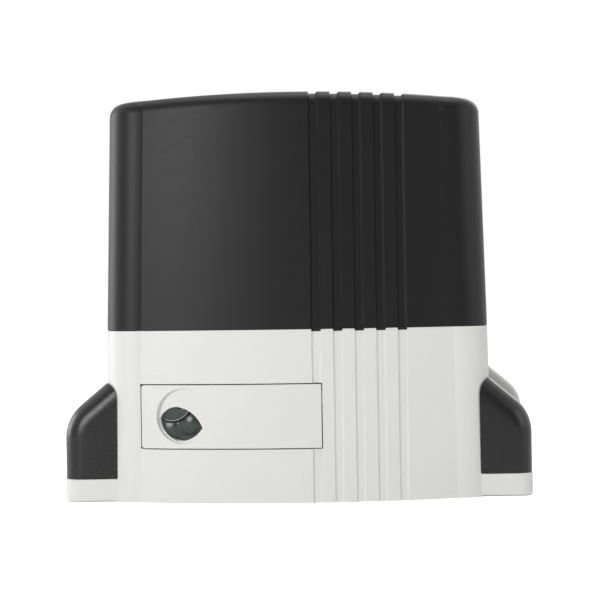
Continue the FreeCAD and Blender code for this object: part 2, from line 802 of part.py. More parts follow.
def gear_outline(module, teeth, y, phase, thinning):
    """Closed outline of a spur gear about the drive shaft, standing at one place along it."""
    pitch = module * teeth / 2
    base_radius = pitch * math.cos(math.radians(20))
    tip = pitch + module
    root = pitch - 1.25 * module
    start_radius = max(base_radius, root + 0.05)
    pressure = math.radians(20)
    half = (math.pi * module / 2 - thinning) / 2 / pitch + math.tan(pressure) - pressure
    edges = []
    first = None
    last = None
    for tooth in range(teeth):
        middle = phase + 2 * math.pi * tooth / teeth
        low, high = middle - half, middle + half
        radii = [start_radius, (start_radius + tip) / 2, tip]
        left = [involute_point(base_radius, r, 1, low, y) for r in radii]
        right = [involute_point(base_radius, r, -1, high, y) for r in reversed(radii)]
        foot_left = V(shaft_x + root * math.cos(low), y, shaft_z + root * math.sin(low))
        foot_right = V(shaft_x + root * math.cos(high), y, shaft_z + root * math.sin(high))
        if last is not None:
            edges.append(Part.makeLine(last, foot_left))
        else:
            first = foot_left
        edges.append(Part.makeLine(foot_left, left[0]))
        edges.append(Part.Arc(*left).toShape())
        edges.append(Part.makeLine(left[2], right[0]))
        edges.append(Part.Arc(*right).toShape())
        edges.append(Part.makeLine(right[2], foot_right))
        last = foot_right
    edges.append(Part.makeLine(last, first))
    return Part.Wire(edges)


def wheel_phase(y):
    """Turn of the wheel's teeth along the shaft, so that they follow the worm's lead."""
    slope = worm_lead / (2 * math.pi * worm_pitch_radius)
    half_pitch = math.pi / wheel_teeth
    return half_pitch - slope * (y - wheel_y) / wheel_pitch_radius


def worm_wheel():
    """Bronze wheel with its twisted teeth and the dog slots in its hub."""
    y0, y1 = wheel_y - wheel_face / 2, wheel_y + wheel_face / 2
    ends = [gear_outline(module_worm, wheel_teeth, y, wheel_phase(y), mesh_thinning) for y in (y0, y1)]
    blank = Part.makeLoft(ends, True, True)
    slots = [turned(dog(0.3, 4.4), 120 * k) for k in range(3)]
    web = ring(38.0, 25.0, V(shaft_x, y0 - 1, shaft_z), 6.0, Y_AXIS)
    rear_web = ring(38.0, 25.0, V(shaft_x, y1 - 5, shaft_z), 6.0, Y_AXIS)
    bore = rod(shaft_radius + 0.02, V(shaft_x, y0 - 1, shaft_z), wheel_face + 2, Y_AXIS)
    return blank.cut(slots + [web, rear_web, bore])


def worm():
    """Single right-hand thread on its core, meshing with a tooth gap of the wheel at the shaft's height."""
    root = worm_pitch_radius - 1.2 * module_worm
    tip = worm_pitch_radius + module_worm
    z0 = shaft_z - worm_length / 2
    slope = math.tan(math.radians(20))
    half_pitch = (worm_lead / 2 - mesh_thinning) / 2
    turns = 5
    start_z = shaft_z - worm_lead / 2 - worm_lead * (turns // 2)
    inner = root - 0.4
    profile = Part.makePolygon([
        V(inner, 0, -half_pitch - (worm_pitch_radius - inner) * slope),
        V(tip, 0, -half_pitch + (tip - worm_pitch_radius) * slope),
        V(tip, 0, half_pitch - (tip - worm_pitch_radius) * slope),
        V(inner, 0, half_pitch + (worm_pitch_radius - inner) * slope),
        V(inner, 0, -half_pitch - (worm_pitch_radius - inner) * slope),
    ])
    helix = Part.makeHelix(worm_lead, worm_lead * turns, worm_pitch_radius)
    thread = Part.Wire(helix).makePipeShell([profile], True, True)
    thread.translate(V(worm_x, wheel_y, start_z))
    core = rod(root, V(worm_x, wheel_y, z0), worm_length)
    bore = rod(motor_shaft_radius, V(worm_x, wheel_y, z0 - 1), worm_length + 2)
    return core.fuse(thread).cut(bore)


def drive_pinion():
    """Steel pinion behind the rear wall that drives the gate's rack."""
    y0 = rear_base_y + pinion_gap
    face = Part.Face(gear_outline(module_pinion, pinion_teeth, y0, 0.0, 0.1))
    blank = face.extrude(V(0, pinion_width, 0))
    bore = rod(pinion_seat_radius + 0.02, V(shaft_x, y0 - 1, shaft_z), pinion_width + 2, Y_AXIS)
    keyway = box(shaft_x - 3, shaft_x + 3, y0 - 1, y0 + pinion_width + 1, shaft_z, shaft_z + 12.8)
    return blank.cut([bore, keyway])


def pinion_key():
    y0 = rear_base_y + pinion_gap
    return box(shaft_x - 3, shaft_x + 3, y0 + 1, y0 + pinion_width - 1,
               shaft_z + pinion_seat_radius - 3.5, shaft_z + 12.8)


def output_shaft():
    """Hollow at the front for the push rod, slotted for the cross pin, stepped and keyed for the pinion."""
    front = gear_front_y - 12.0
    shoulder = rear_base_y + pinion_gap
    body = rod(shaft_radius, V(shaft_x, front, shaft_z), shoulder - front, Y_AXIS)
    nose = rod(pinion_seat_radius, V(shaft_x, shoulder, shaft_z), pinion_width, Y_AXIS)
    bore = rod(push_rod_radius + 0.06, V(shaft_x, front - 1, shaft_z),
               cross_pin_y + clutch_travel + 6 - front, Y_AXIS)
    z0, z1 = shaft_z - cross_pin_radius - 0.2, shaft_z + cross_pin_radius + 0.2
    slot = box(shaft_x - 40, shaft_x + 40, cross_pin_y - cross_pin_radius - 0.3,
               cross_pin_y + clutch_travel + cross_pin_radius + 0.5, z0, z1)
    keyway = box(shaft_x - 3, shaft_x + 3, shoulder + 1, shoulder + pinion_width - 1,
                 shaft_z + pinion_seat_radius - 3.5, shaft_z + 20)
    thread = rod(3.0, V(shaft_x, shoulder + pinion_width - 16, shaft_z), 20, Y_AXIS)
    return body.fuse(nose).cut([bore, slot, keyway, thread])


def pinion_washer():
    return ring(15.0, 3.2, V(shaft_x, rear_base_y + pinion_gap + pinion_width, shaft_z), 2.5, Y_AXIS)


def pinion_screw():
    y0 = rear_base_y + pinion_gap + pinion_width + 2.5
    shank = rod(3.0, V(shaft_x, y0 - 17, shaft_z), 17.5, Y_AXIS)
    head = rod(5.0, V(shaft_x, y0, shaft_z), 5.0, Y_AXIS)
    socket = rod(2.9, V(shaft_x, y0 + 2.0, shaft_z), 4.0, Y_AXIS)
    return shank.fuse(head).cut(socket)


# ---------------------------------------------------------------- gear case and bearings


drum_wall = 5.5
drum_cavity = wheel_pitch_radius + module_worm + 3.0
drum_radius = drum_cavity + drum_wall
gear_front_y = wheel_y - wheel_face / 2 - 3.0
gear_rear_y = clutch_front_y + clutch_thickness + clutch_travel + 1.5
case_rear_y = gear_rear_y + 4.0
lid_thickness = 5.0
bearing_width = 12.0
bearing_outer = 23.5
tower_radius = 21.0
tower_cavity = worm_pitch_radius + module_worm + 1.2
flange_radius = motor_radius + 6.0
flange_low = motor_base_z - 6.0
worm_bearing_outer = 14.0
worm_bearing_width = 8.0
lid_ear_angles = (105, 160, 240, 305)


def bearing(centre, axis, outer, inner, width):
    """Shielded ball bearing: two races with the shields sunk between them."""
    body = ring(outer, inner, centre, width, axis)
    low, high = inner + (outer - inner) * 0.28, inner + (outer - inner) * 0.72
    sunk = 0.6
    first = ring(high, low, centre, sunk, axis)
    second = ring(high, low, centre + axis * (width - sunk), sunk, axis)
    return body.cut([first, second])


def ear_place(degrees):
    a = math.radians(degrees)
    reach = drum_radius + 2.5
    return shaft_x + reach * math.cos(a), shaft_z + reach * math.sin(a)


def gear_case():
    """Casting round the wheel and the worm, with the motor's flange on top."""
    z0, z1 = floor_high + 2.0, floor_high + 8.0
    plate = box(shaft_x - 56, worm_x + 23, gear_front_y, case_rear_y, z0, z1)
    left_ear = box(shaft_x - 56, shaft_x - 40, gear_front_y - 8, gear_front_y + 1, z0, z1)
    right_ear = box(worm_x - 15, worm_x + 23, wheel_y - 28, gear_front_y + 1, z0, z1)
    drum = rod(drum_radius, V(shaft_x, gear_front_y, shaft_z), case_rear_y - gear_front_y, Y_AXIS)
    boss = rod(bearing_outer + 5, V(shaft_x, case_rear_y - 1, shaft_z), bearing_width + 1, Y_AXIS)
    tower = rod(tower_radius, V(worm_x, wheel_y, floor_high + 4), motor_base_z - floor_high - 4)
    flange = rod(flange_radius, V(worm_x, wheel_y, flange_low), motor_base_z - flange_low)
    ears = []
    for degrees in lid_ear_angles:
        x, z = ear_place(degrees)
        ears.append(rod(5.5, V(x, gear_front_y, z), 18.0, Y_AXIS))
    ribs = [box(worm_x + tower_radius - 2, worm_x + flange_radius - 8, wheel_y - 2, wheel_y + 2,
                floor_high + 8, flange_low + 1)]
    body = plate.fuse([left_ear, right_ear, drum, boss, tower, flange] + ears + ribs)
    z_low = shaft_z - worm_length / 2 - 3
    z_high = motor_base_z - worm_bearing_width
    cuts = [
        rod(drum_cavity, V(shaft_x, gear_front_y - 1, shaft_z), gear_rear_y - gear_front_y + 1, Y_AXIS),
        rod(bearing_outer + 0.02, V(shaft_x, gear_rear_y + 3, shaft_z), 40, Y_AXIS),
        rod(shaft_radius + 2, V(shaft_x, gear_rear_y - 1, shaft_z), 10, Y_AXIS),
        rod(tower_cavity, V(worm_x, wheel_y, z_low), z_high - 4 - z_low),
        rod(worm_bearing_outer + 0.02, V(worm_x, wheel_y, z_low - worm_bearing_width), 20),
        rod(worm_bearing_outer + 0.02, V(worm_x, wheel_y, z_high), 20),
        rod(motor_shaft_radius + 2, V(worm_x, wheel_y, z_low - worm_bearing_width - 2), 150),
    ]
    for degrees in lid_ear_angles:
        x, z = ear_place(degrees)
        cuts.append(rod(2.0, V(x, gear_front_y - 1, z), 15, Y_AXIS))
    for x, y in case_screw_places:
        cuts.append(rod(3.2, V(x, y, 0), 30))
    for y in (-1, 1):
        cuts.append(rod(2.5, V(worm_x, wheel_y + y * through_bolt_reach, flange_low - 1), 10))
    return body.cut(cuts).removeSplitter()


def gear_case_cover():
    """Lid on the front of the drum that carries the front bearing, cut round the worm's tower."""
    y0 = gear_front_y - lid_thickness
    disc = rod(drum_radius, V(shaft_x, y0, shaft_z), lid_thickness, Y_AXIS)
    ears = []
    holes = []
    for degrees in lid_ear_angles:
        x, z = ear_place(degrees)
        ears.append(rod(5.5, V(x, y0, z), lid_thickness, Y_AXIS))
        holes.append(rod(2.2, V(x, y0 - 1, z), lid_thickness + 2, Y_AXIS))
    boss = rod(bearing_outer + 4, V(shaft_x, y0 - 8, shaft_z), 9, Y_AXIS)
    seat = rod(bearing_outer + 0.02, V(shaft_x, gear_front_y - bearing_width, shaft_z), 20, Y_AXIS)
    opening = rod(shaft_radius + 2, V(shaft_x, y0 - 20, shaft_z), 40, Y_AXIS)
    clear = rod(tower_radius + 0.3, V(worm_x, wheel_y, 0), 200)
    flange_clear = rod(flange_radius + 0.3, V(worm_x, wheel_y, flange_low - 0.3), 20)
    lid = disc.fuse(ears + [boss]).cut(holes + [seat, opening, clear, flange_clear])
    return lid.removeSplitter()


def lid_screws():
    y0 = gear_front_y - lid_thickness
    screws = []
    for degrees in lid_ear_angles:
        x, z = ear_place(degrees)
        shank = rod(1.95, V(x, y0 - 1, z), 16, Y_AXIS)
        head = rod(3.5, V(x, y0 - 3.2, z), 3.2, Y_AXIS)
        slot = rod(1.7, V(x, y0 - 3.3, z), 1.8, Y_AXIS)
        screws.append(shank.fuse(head).cut(slot))
    return screws


def case_screws():
    screws = []
    for x, y in case_screw_places:
        shank = rod(2.95, V(x, y, floor_low + 1.2), floor_high - floor_low + 7.0)
        head = rod(5.0, V(x, y, floor_high + 8.0), 6.0)
        screws.append(shank.fuse(head).cut(hexagon(2.8, V(x, y, floor_high + 11), 4.0)))
    return screws


def shaft_seal():
    """Rubber lip seal in the rear wall."""
    y0 = rear_base_y - housing_wall - 1.0 - 9.0
    body = ring(seal_radius, shaft_radius + running, V(shaft_x, y0, shaft_z), seal_width, Y_AXIS)
    return body.cut(ring(seal_radius - 2.5, shaft_radius + 2.5, V(shaft_x, y0, shaft_z), 3.5, Y_AXIS))


# ---------------------------------------------------------------- motor


motor_top_z = motor_base_z + motor_can_height
through_bolt_reach = motor_radius - motor_can_wall - 2.6
armature_radius = 28.0
magnet_thickness = motor_radius - motor_can_wall - armature_radius - air_gap


def motor_centre(z):
    return V(worm_x, wheel_y, z)


def motor_can():
    tube = ring(motor_radius, motor_radius - motor_can_wall, motor_centre(motor_base_z), motor_can_height)
    return tube


def motor_end_cap():
    """Moulded cap with a bearing seat and cooling slots."""
    z0 = motor_top_z
    disc = rod(motor_radius, motor_centre(z0), 5.0).fuse(rod(15.0, motor_centre(z0 + 4), 10.0))
    spigot = ring(motor_radius - motor_can_wall - 0.1, motor_radius - motor_can_wall - 3.0,
                  motor_centre(z0 - 4), 4.5)
    cuts = [rod(11.02, motor_centre(z0 - 5), 5 + 7.0), rod(motor_shaft_radius + 1.5, motor_centre(z0), 11.0)]
    for k in range(6):
        slot = box(18, 30, -2, 2, -10, 30)
        slot.rotate(V(0, 0, 0), Z_AXIS, 30 + 60 * k)
        slot.translate(motor_centre(z0))
        cuts.append(slot)
    for y in (-1, 1):
        cuts.append(rod(2.5, V(worm_x, wheel_y + y * through_bolt_reach, z0 - 10), 20))
    return disc.fuse(spigot).cut(cuts)


def motor_magnets():
    """Two magnet shells inside the can, with gaps for the through bolts."""
    outer = motor_radius - motor_can_wall - 0.05
    shell = ring(outer, outer - magnet_thickness, motor_centre(motor_base_z + 8), 66.0)
    gap = box(worm_x - 14, worm_x + 14, wheel_y - 60, wheel_y + 60, 0, 300)
    return shell.cut(gap).Solids


def motor_bolts():
    bolts = []
    for y in (-1, 1):
        place = V(worm_x, wheel_y + y * through_bolt_reach, flange_low)
        shank = rod(2.4, place, motor_top_z + 5.0 - flange_low)
        head = rod(4.4, V(place.x, place.y, motor_top_z + 5.0), 4.0)
        bolts.append(shank.fuse(head).cut(hexagon(2.0, V(place.x, place.y, motor_top_z + 7), 3.0)))
    return bolts


def motor_shaft():
    low = shaft_z - worm_length / 2 - 3 - worm_bearing_width
    body = rod(motor_shaft_radius, motor_centre(low), motor_top_z - 6 - low)
    return body.fuse(rod(4.0, motor_centre(motor_top_z - 7), 14.0))


def armature():
    """Slotted stack of laminations with its winding ends."""
    stack = rod(armature_radius, motor_centre(motor_base_z + 14), 50.0)
    bore = rod(motor_shaft_radius, motor_centre(motor_base_z), 100)
    slots = []
    for k in range(12):
        slot = box(armature_radius - 8, armature_radius + 5, -1.1, 1.1, -5, 60)
        slot.rotate(V(0, 0, 0), Z_AXIS, 30 * k)
        slot.translate(motor_centre(motor_base_z + 14))
        slots.append(slot)
    return stack.cut([bore] + slots)


def armature_winding():
    ends = []
    for z in (motor_base_z + 7.0, motor_base_z + 64.0):
        end = rod(armature_radius - 4, motor_centre(z), 7.0)
        end = end.makeChamfer(2.0, [e for e in end.Edges if e.Length > 100])
        ends.append(end.cut(rod(motor_shaft_radius, motor_centre(z - 1), 12)))
    return ends


def commutator():
    body = ring(12.0, motor_shaft_radius, motor_centre(motor_base_z + 73.0), 14.0)
    cuts = []
    for k in range(12):
        slot = box(11, 14, -0.4, 0.4, -1, 16)
        slot.rotate(V(0, 0, 0), Z_AXIS, 30 * k)
        slot.translate(motor_centre(motor_base_z + 73.0))
        cuts.append(slot)
    return body.cut(cuts)


def brushes():
    """Carbon brushes with their holders, hung from the end cap either side of the commutator."""
    parts = []
    z0 = motor_base_z + 75.0
    for side in (-1, 1):
        x0, x1 = (12.3, 24.0) if side > 0 else (-24.0, -12.3)
        parts.append(box(worm_x + x0, worm_x + x1, wheel_y - 3, wheel_y + 3, z0, z0 + 9))
    return parts


def brush_holders():
    parts = []
    z0 = motor_base_z + 75.0
    for side in (-1, 1):
        x0, x1 = (15.0, 27.0) if side > 0 else (-27.0, -15.0)
        shell = box(worm_x + x0, worm_x + x1, wheel_y - 5, wheel_y + 5, z0 - 2, motor_top_z)
        inner = box(worm_x + x0 - 1, worm_x + x1 + 1, wheel_y - 3, wheel_y + 3, z0, z0 + 9)
        parts.append(shell.cut(inner))
    return parts


# ---------------------------------------------------------------- electrics


core_x = -99.0
core_y = 76.0
core_width = 54.0
core_depth = 34.0
core_height = 62.0
core_z = floor_high + 4.0
limb = 18.0
transformer_foot = 2.0
board_y = board_post_y - 8.0
board_thickness = 1.6
board_half = 92.0
board_low = split_z + 14.0
board_high = split_z + 118.0


def transformer_screw_places():
    return [(core_x - core_width / 2 + 6, core_y - core_depth / 2 - 5),
            (core_x + core_width / 2 - 6, core_y + core_depth / 2 + 5)]


def transformer_core():
    """Laminated core, one outer loop with a middle limb."""
    body = box(core_x - core_width / 2, core_x + core_width / 2, core_y - core_depth / 2,
               core_y + core_depth / 2, core_z, core_z + core_height)
    cuts = []
    frame = limb / 2
    for side in (-1, 1):
        a, b = sorted((core_x + side * limb / 2, core_x + side * (core_width / 2 - frame)))
        cuts.append(box(a, b, core_y - 50, core_y + 50, core_z + frame, core_z + core_height - frame))
    return body.cut(cuts)


def transformer_coil():
    """Winding on its bobbin round the middle limb."""
    frame = limb / 2
    half = core_width / 2 - frame - 0.2
    z0, z1 = core_z + frame + 0.2, core_z + core_height - frame - 0.2
    outer = box(core_x - half, core_x + half, core_y - core_depth / 2 - 9, core_y + core_depth / 2 + 9, z0, z1)
    upright = [e for e in outer.Edges if e.BoundBox.ZLength > 10]
    outer = outer.makeFillet(5.0, upright)
    hole = box(core_x - limb / 2, core_x + limb / 2, core_y - core_depth / 2 - 0.1,
               core_y + core_depth / 2 + 0.1, z0 - 1, z1 + 1)
    return outer.cut(hole)


def transformer_bracket():
    """Two feet under the core with screw holes."""
    feet = []
    for (x, y), side in zip(transformer_screw_places(), (-1, 1)):
        y_core = core_y + side * core_depth / 2
        a, b = sorted((y_core - side * 8, y + side * 5))
        foot = box(x - 6, x + 6, a, b, core_z - transformer_foot, core_z)
        feet.append(foot.cut(rod(2.0, V(x, y, core_z - 5), 10)))
    return feet


def transformer_screws():
    screws = []
    for x, y in transformer_screw_places():
        place = V(x, y, core_z - 6.5)
        screws.append(rod(1.95, place, 6.5).fuse(rod(3.5, place + V(0, 0, 6.5), 2.6)))
    return screws


def board_carrier():
    """Moulded tray that stands on the two posts and holds the control board."""
    y0, y1 = board_y + board_thickness + 4.0, board_y + board_thickness + 6.5
    plate = box(-board_half - 3, board_half + 3, y0, y1, board_low - 3, board_high + 3)
    rim = box(-board_half - 3, board_half + 3, board_y, y1, board_low - 3, board_high + 3)
    rim = rim.cut(box(-board_half - 0.3, board_half + 0.3, board_y - 1, y1 + 1, board_low - 0.3, board_high + 0.3))
    feet = []
    for side in (-1, 1):
        x = side * board_post_x
        feet.append(box(x - 8, x + 8, board_post_y - 7, board_post_y + 7, split_z, split_z + 3))
        a, b = sorted((x - side * 8, side * (board_half - 12)))
        feet.append(box(a, b, y0, y1, split_z, board_low + 8))
    standoffs = [rod(3.0, V(x, board_y + board_thickness, z), y0 - board_y - board_thickness + 1, Y_AXIS)
                 for x in (-board_half + 6, board_half - 6) for z in (board_low + 6, board_high - 6)]
    holes = [rod(1.7, V(side * board_post_x, board_post_y, split_z - 1), 10) for side in (-1, 1)]
    return joined([plate, rim] + feet + standoffs).cut(holes)


def carrier_screws():
    screws = []
    for side in (-1, 1):
        place = V(side * board_post_x, board_post_y, split_z - 9)
        screws.append(rod(1.45, place, 12.0).fuse(rod(3.0, place + V(0, 0, 12), 2.2)))
    return screws


def control_board():
    plate = box(-board_half, board_half, board_y, board_y + board_thickness, board_low, board_high)
    return plate


def on_board(x0, x1, z0, z1, depth):
    """Block standing on the board's front."""
    return box(x0, x1, board_y - depth, board_y, z0, z1)


def terminal_blocks():
    """Row of plug-in terminals along the board's lower edge, each with its screw wells."""
    blocks = []
    for k in range(5):
        x0 = -84.0 + k * 31.0
        block = on_board(x0, x0 + 27.0, board_low + 4, board_low + 18, 12.0)
        wells = [rod(2.0, V(x0 + 4.5 + 6.0 * n, board_y - 13, board_low + 13), 4.0, Y_AXIS) for n in range(4)]
        mouths = [box(x0 + 2.5 + 6.0 * n, x0 + 6.5 + 6.0 * n, board_y - 9, board_y - 5,
                      board_low + 3, board_low + 8) for n in range(4)]
        blocks.append(block.cut(wells + mouths))
    return blocks


def relays():
    return [on_board(-80.0 + 24.0 * k, -62.0 + 24.0 * k, board_low + 34, board_low + 62, 15.0)
            for k in range(3)]


def capacitors():
    cans = []
    for x in (6.0, 26.0):
        can = rod(8.0, V(x, board_y - 24.0, board_low + 44), 24.0, Y_AXIS)
        cans.append(can)
    return cans


def fuse_holder():
    holder = on_board(-80.0, -52.0, board_low + 74, board_low + 84, 8.0)
    return holder.cut(box(-77.0, -55.0, board_y - 9, board_y - 3, board_low + 76.5, board_low + 81.5))


def fuse():
    return rod(2.4, V(-76.8, board_y - 5.5, board_low + 79), 21.6, X_AXIS)


button_pitch = 18.0
button_first_x = 44.0
button_z = board_low + 50.0
button_radius = 3.5
button_travel = 0.6


def button_switches():
    bodies = []
    for k in range(3):
        x = button_first_x + button_pitch * k
        block = on_board(x - 6, x + 6, button_z - 6, button_z + 6, 5.0)
        bodies.append(block.cut(rod(button_radius + 0.1, V(x, board_y - 6, button_z), 5.0, Y_AXIS)))
    return bodies


def programming_button(index):
    x = button_first_x + button_pitch * index
    return rod(button_radius, V(x, board_y - 8.0, button_z), 8.0 - 1.0 - button_travel - 0.3, Y_AXIS)


# ---------------------------------------------------------------- limit switch


limit_wall = 2.5
limit_front_y = rear_base_y - 21.0
limit_rear_y = rear_base_y + 2.0
limit_screw_y = rear_base_y - 24.0
limit_pivot_y = rear_base_y - 10.0
limit_lever_z = split_z + 20.0
limit_hub_radius = 5.0
limit_pin_radius = 1.5


def limit_screw_xs():
    x0, x1, _ = limit_box_span()
    return x0 + 6, x1 - 6


def limit_switch_box():
    """Box on the rear shelf with a wide slot for the lever, and two ears with screw holes."""
    x0, x1, z1 = limit_box_span()
    wall = limit_wall
    z0 = shelf_top
    body = box(x0, x1, limit_front_y, limit_rear_y, z0, z1 - wall)
    body = body.cut(box(x0 + wall, x1 - wall, limit_front_y + wall, limit_rear_y - wall, z0 + wall, z1 + 1))
    slot = box(shaft_x - 20, shaft_x + 20, limit_rear_y - wall - 1, limit_rear_y + 1,
               limit_lever_z - 4, limit_lever_z + 4)
    ears = [box(x - 4.5, x + 4.5, limit_screw_y - 4.5, limit_front_y + 0.5, z0, z0 + 3) for x in limit_screw_xs()]
    holes = [rod(1.7, V(x, limit_screw_y, z0 - 1), 6) for x in limit_screw_xs()]
    pin_hole = rod(limit_pin_radius, V(shaft_x, limit_pivot_y, z0 + 0.5), 10)
    return body.cut(slot).fuse(ears).cut(holes + [pin_hole])


def limit_switch_lid():
    x0, x1, z1 = limit_box_span()
    lid = box(x0, x1, limit_front_y, limit_rear_y, z1 - limit_wall, z1)
    return lid.cut(rod(limit_pin_radius, V(shaft_x, limit_pivot_y, z1 - 10), 9.0))


def limit_pin():
    _, _, z1 = limit_box_span()
    return rod(limit_pin_radius, V(shaft_x, limit_pivot_y, shelf_top + 0.6), z1 - 1.2 - shelf_top - 0.6)


def limit_lever():
    """Sprung rod that the brackets on the rack push aside, on its hub."""
    z = limit_lever_z
    hub = rod(limit_hub_radius, V(shaft_x, limit_pivot_y, z - 7), 14.0)
    arm = rod(2.0, V(shaft_x, limit_pivot_y, z), 54.0, Y_AXIS)
    tip = rod(3.5, V(shaft_x, limit_pivot_y + 44, z), 12.0, Y_AXIS)
    bore = rod(limit_pin_radius + running, V(shaft_x, limit_pivot_y, z - 10), 20)
    return hub.fuse([arm, tip]).cut(bore)


def microswitches():
    switches = []
    for side in (-1, 1):
        a, b = sorted((shaft_x + side * 11.0, shaft_x + side * 19.0))
        switches.append(box(a, b, limit_front_y + limit_wall, limit_front_y + limit_wall + 13.0,
                            shelf_top + limit_wall, shelf_top + limit_wall + 20.0))
    return switches


def limit_screws():
    screws = []
    for x in limit_screw_xs():
        place = V(x, limit_screw_y, shelf_top - 8)
        screws.append(rod(1.45, place, 11.0).fuse(rod(2.8, place + V(0, 0, 11), 2.2)))
    return screws


# ---------------------------------------------------------------- writing the pieces


os.makedirs("parts", exist_ok=True)
write("upper_cover", upper_cover())
write("lower_housing", lower_housing())
write("cover_screws", *cover_screws())
write("cover_gasket", cover_gasket())
write("right_foot_cover", right_foot_cap())
write("left_foot_cover", mirrored(right_foot_cap()))
write("levelling_screws", *levelling_screws())
write("cable_grommet", cable_grommet())
write("release_door", release_door())
write("door_pin", door_pin())
write("lock_cover", lock_cover())
write("lock_barrel", lock_barrel())
write("lock_plug", lock_plug())
write("lock_tongue", lock_tongue())
write("release_slider", release_slider())
write("clutch_ring", clutch_ring())
write("clutch_pin", clutch_pin())
write("worm_wheel", worm_wheel())
write("worm", worm())
write("drive_pinion", drive_pinion())
write("pinion_key", pinion_key())
write("output_shaft", output_shaft())
write("pinion_washer", pinion_washer())
write("pinion_screw", pinion_screw())
write("gear_case", gear_case())
write("gear_case_cover", gear_case_cover())
write("lid_screws", *lid_screws())
write("case_screws", *case_screws())
write("shaft_seal", shaft_seal())
front_seat = V(shaft_x, gear_front_y - bearing_width, shaft_z)
rear_seat = V(shaft_x, gear_rear_y + 3, shaft_z)
write("front_bearing", bearing(front_seat, Y_AXIS, bearing_outer, shaft_radius + running, bearing_width))
write("rear_bearing", bearing(rear_seat, Y_AXIS, bearing_outer, shaft_radius + running, bearing_width))
worm_low = motor_centre(shaft_z - worm_length / 2 - 3 - worm_bearing_width)
worm_high = motor_centre(motor_base_z - worm_bearing_width)
inner = motor_shaft_radius + running
write("worm_end_bearing", bearing(worm_low, Z_AXIS, worm_bearing_outer, inner, worm_bearing_width))
write("lower_motor_bearing", bearing(worm_high, Z_AXIS, worm_bearing_outer, inner, worm_bearing_width))
cap_seat = motor_centre(motor_top_z)
write("upper_motor_bearing", bearing(cap_seat, Z_AXIS, 11.0, 4.0 + running, 7.0))
write("motor_can", motor_can())
write("motor_end_cap", motor_end_cap())
write("motor_magnets", *motor_magnets())
write("motor_bolts", *motor_bolts())
write("motor_shaft", motor_shaft())
write("armature", armature())
write("armature_winding", *armature_winding())
write("commutator", commutator())
write("brushes", *brushes(), *brush_holders())
write("transformer_core", transformer_core())
write("transformer_coil", transformer_coil())
write("transformer_feet", *transformer_bracket())
write("board_carrier", board_carrier())
write("small_screws", *carrier_screws(), *limit_screws(), *transformer_screws())
write("control_board", control_board())
write("board_terminals", *terminal_blocks())
write("board_relays", *relays(), *capacitors())
write("board_fuse", fuse_holder(), fuse())
write("button_switches", *button_switches())
for index, name in enumerate(("open", "stop", "close")):
    write(name + "_button", programming_button(index))
write("limit_switch_box", limit_switch_box(), limit_switch_lid())
write("limit_lever", limit_lever())
write("limit_pin", limit_pin())
write("limit_microswitches", *microswitches())
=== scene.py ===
import json
import math

import bmesh
import bpy
from mathutils import Matrix, Vector


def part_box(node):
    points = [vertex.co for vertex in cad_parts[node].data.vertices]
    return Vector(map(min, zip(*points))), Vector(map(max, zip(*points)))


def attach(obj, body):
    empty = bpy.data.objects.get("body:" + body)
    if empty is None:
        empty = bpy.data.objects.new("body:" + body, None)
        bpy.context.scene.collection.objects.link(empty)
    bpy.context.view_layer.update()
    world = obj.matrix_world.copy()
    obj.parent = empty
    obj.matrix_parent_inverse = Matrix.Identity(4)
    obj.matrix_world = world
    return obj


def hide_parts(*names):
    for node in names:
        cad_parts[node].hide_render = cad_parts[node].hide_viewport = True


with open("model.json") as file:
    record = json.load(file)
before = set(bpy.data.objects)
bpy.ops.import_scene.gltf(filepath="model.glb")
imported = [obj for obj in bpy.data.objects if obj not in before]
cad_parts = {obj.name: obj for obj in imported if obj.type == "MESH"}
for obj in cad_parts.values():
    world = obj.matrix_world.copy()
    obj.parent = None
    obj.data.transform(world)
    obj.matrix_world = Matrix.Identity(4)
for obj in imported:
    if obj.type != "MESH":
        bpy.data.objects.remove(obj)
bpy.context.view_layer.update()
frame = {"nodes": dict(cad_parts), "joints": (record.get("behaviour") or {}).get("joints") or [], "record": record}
nodes = frame["nodes"]
record = frame["record"]
scene = bpy.context.scene
MM = 0.001

# ---------------------------------------------------------------- camera

camera_place = Vector((10.0, -1325.7, 151.8)) * MM
camera_turn_deg = 0.34  # to the left of straight on
camera_pitch_deg = -0.53
camera_roll_deg = 0.86
camera_lens = 109.9
camera_sensor = 36.0
world_soft = 0.40  # strength for diffuse light
world_front = 0.08  # strength of what mirrors on the camera's side
world_front_y = -0.75  # the mirrored world brightens from this direction
world_back_y = 0.35  # to this one
floor_half = 6.0
floor_shade = 0.86
floor_glow = 0.7


def add_camera():
    data = bpy.data.cameras.new("camera")
    data.lens = camera_lens
    data.sensor_width = camera_sensor
    data.clip_start = 0.01
    obj = bpy.data.objects.new("camera", data)
    scene.collection.objects.link(obj)
    turn = Matrix.Rotation(math.radians(camera_turn_deg), 4, "Z")
    pitch = Matrix.Rotation(math.radians(90 + camera_pitch_deg), 4, "X")
    roll = Matrix.Rotation(math.radians(-camera_roll_deg), 4, "Z")
    obj.matrix_world = Matrix.Translation(camera_place) @ turn @ pitch @ roll
    scene.camera = obj


# ---------------------------------------------------------------- light and stage


def area_light(name, place, target, size, power):
    data = bpy.data.lights.new(name, "AREA")
    data.shape = "RECTANGLE"
    data.size = size
    data.size_y = size
    data.energy = power
    obj = bpy.data.objects.new(name, data)
    scene.collection.objects.link(obj)
    place = Vector(place)
    aim = (Vector(target) - place).to_track_quat("-Z", "Y")
    obj.matrix_world = Matrix.Translation(place) @ aim.to_matrix().to_4x4()
    obj.visible_camera = False


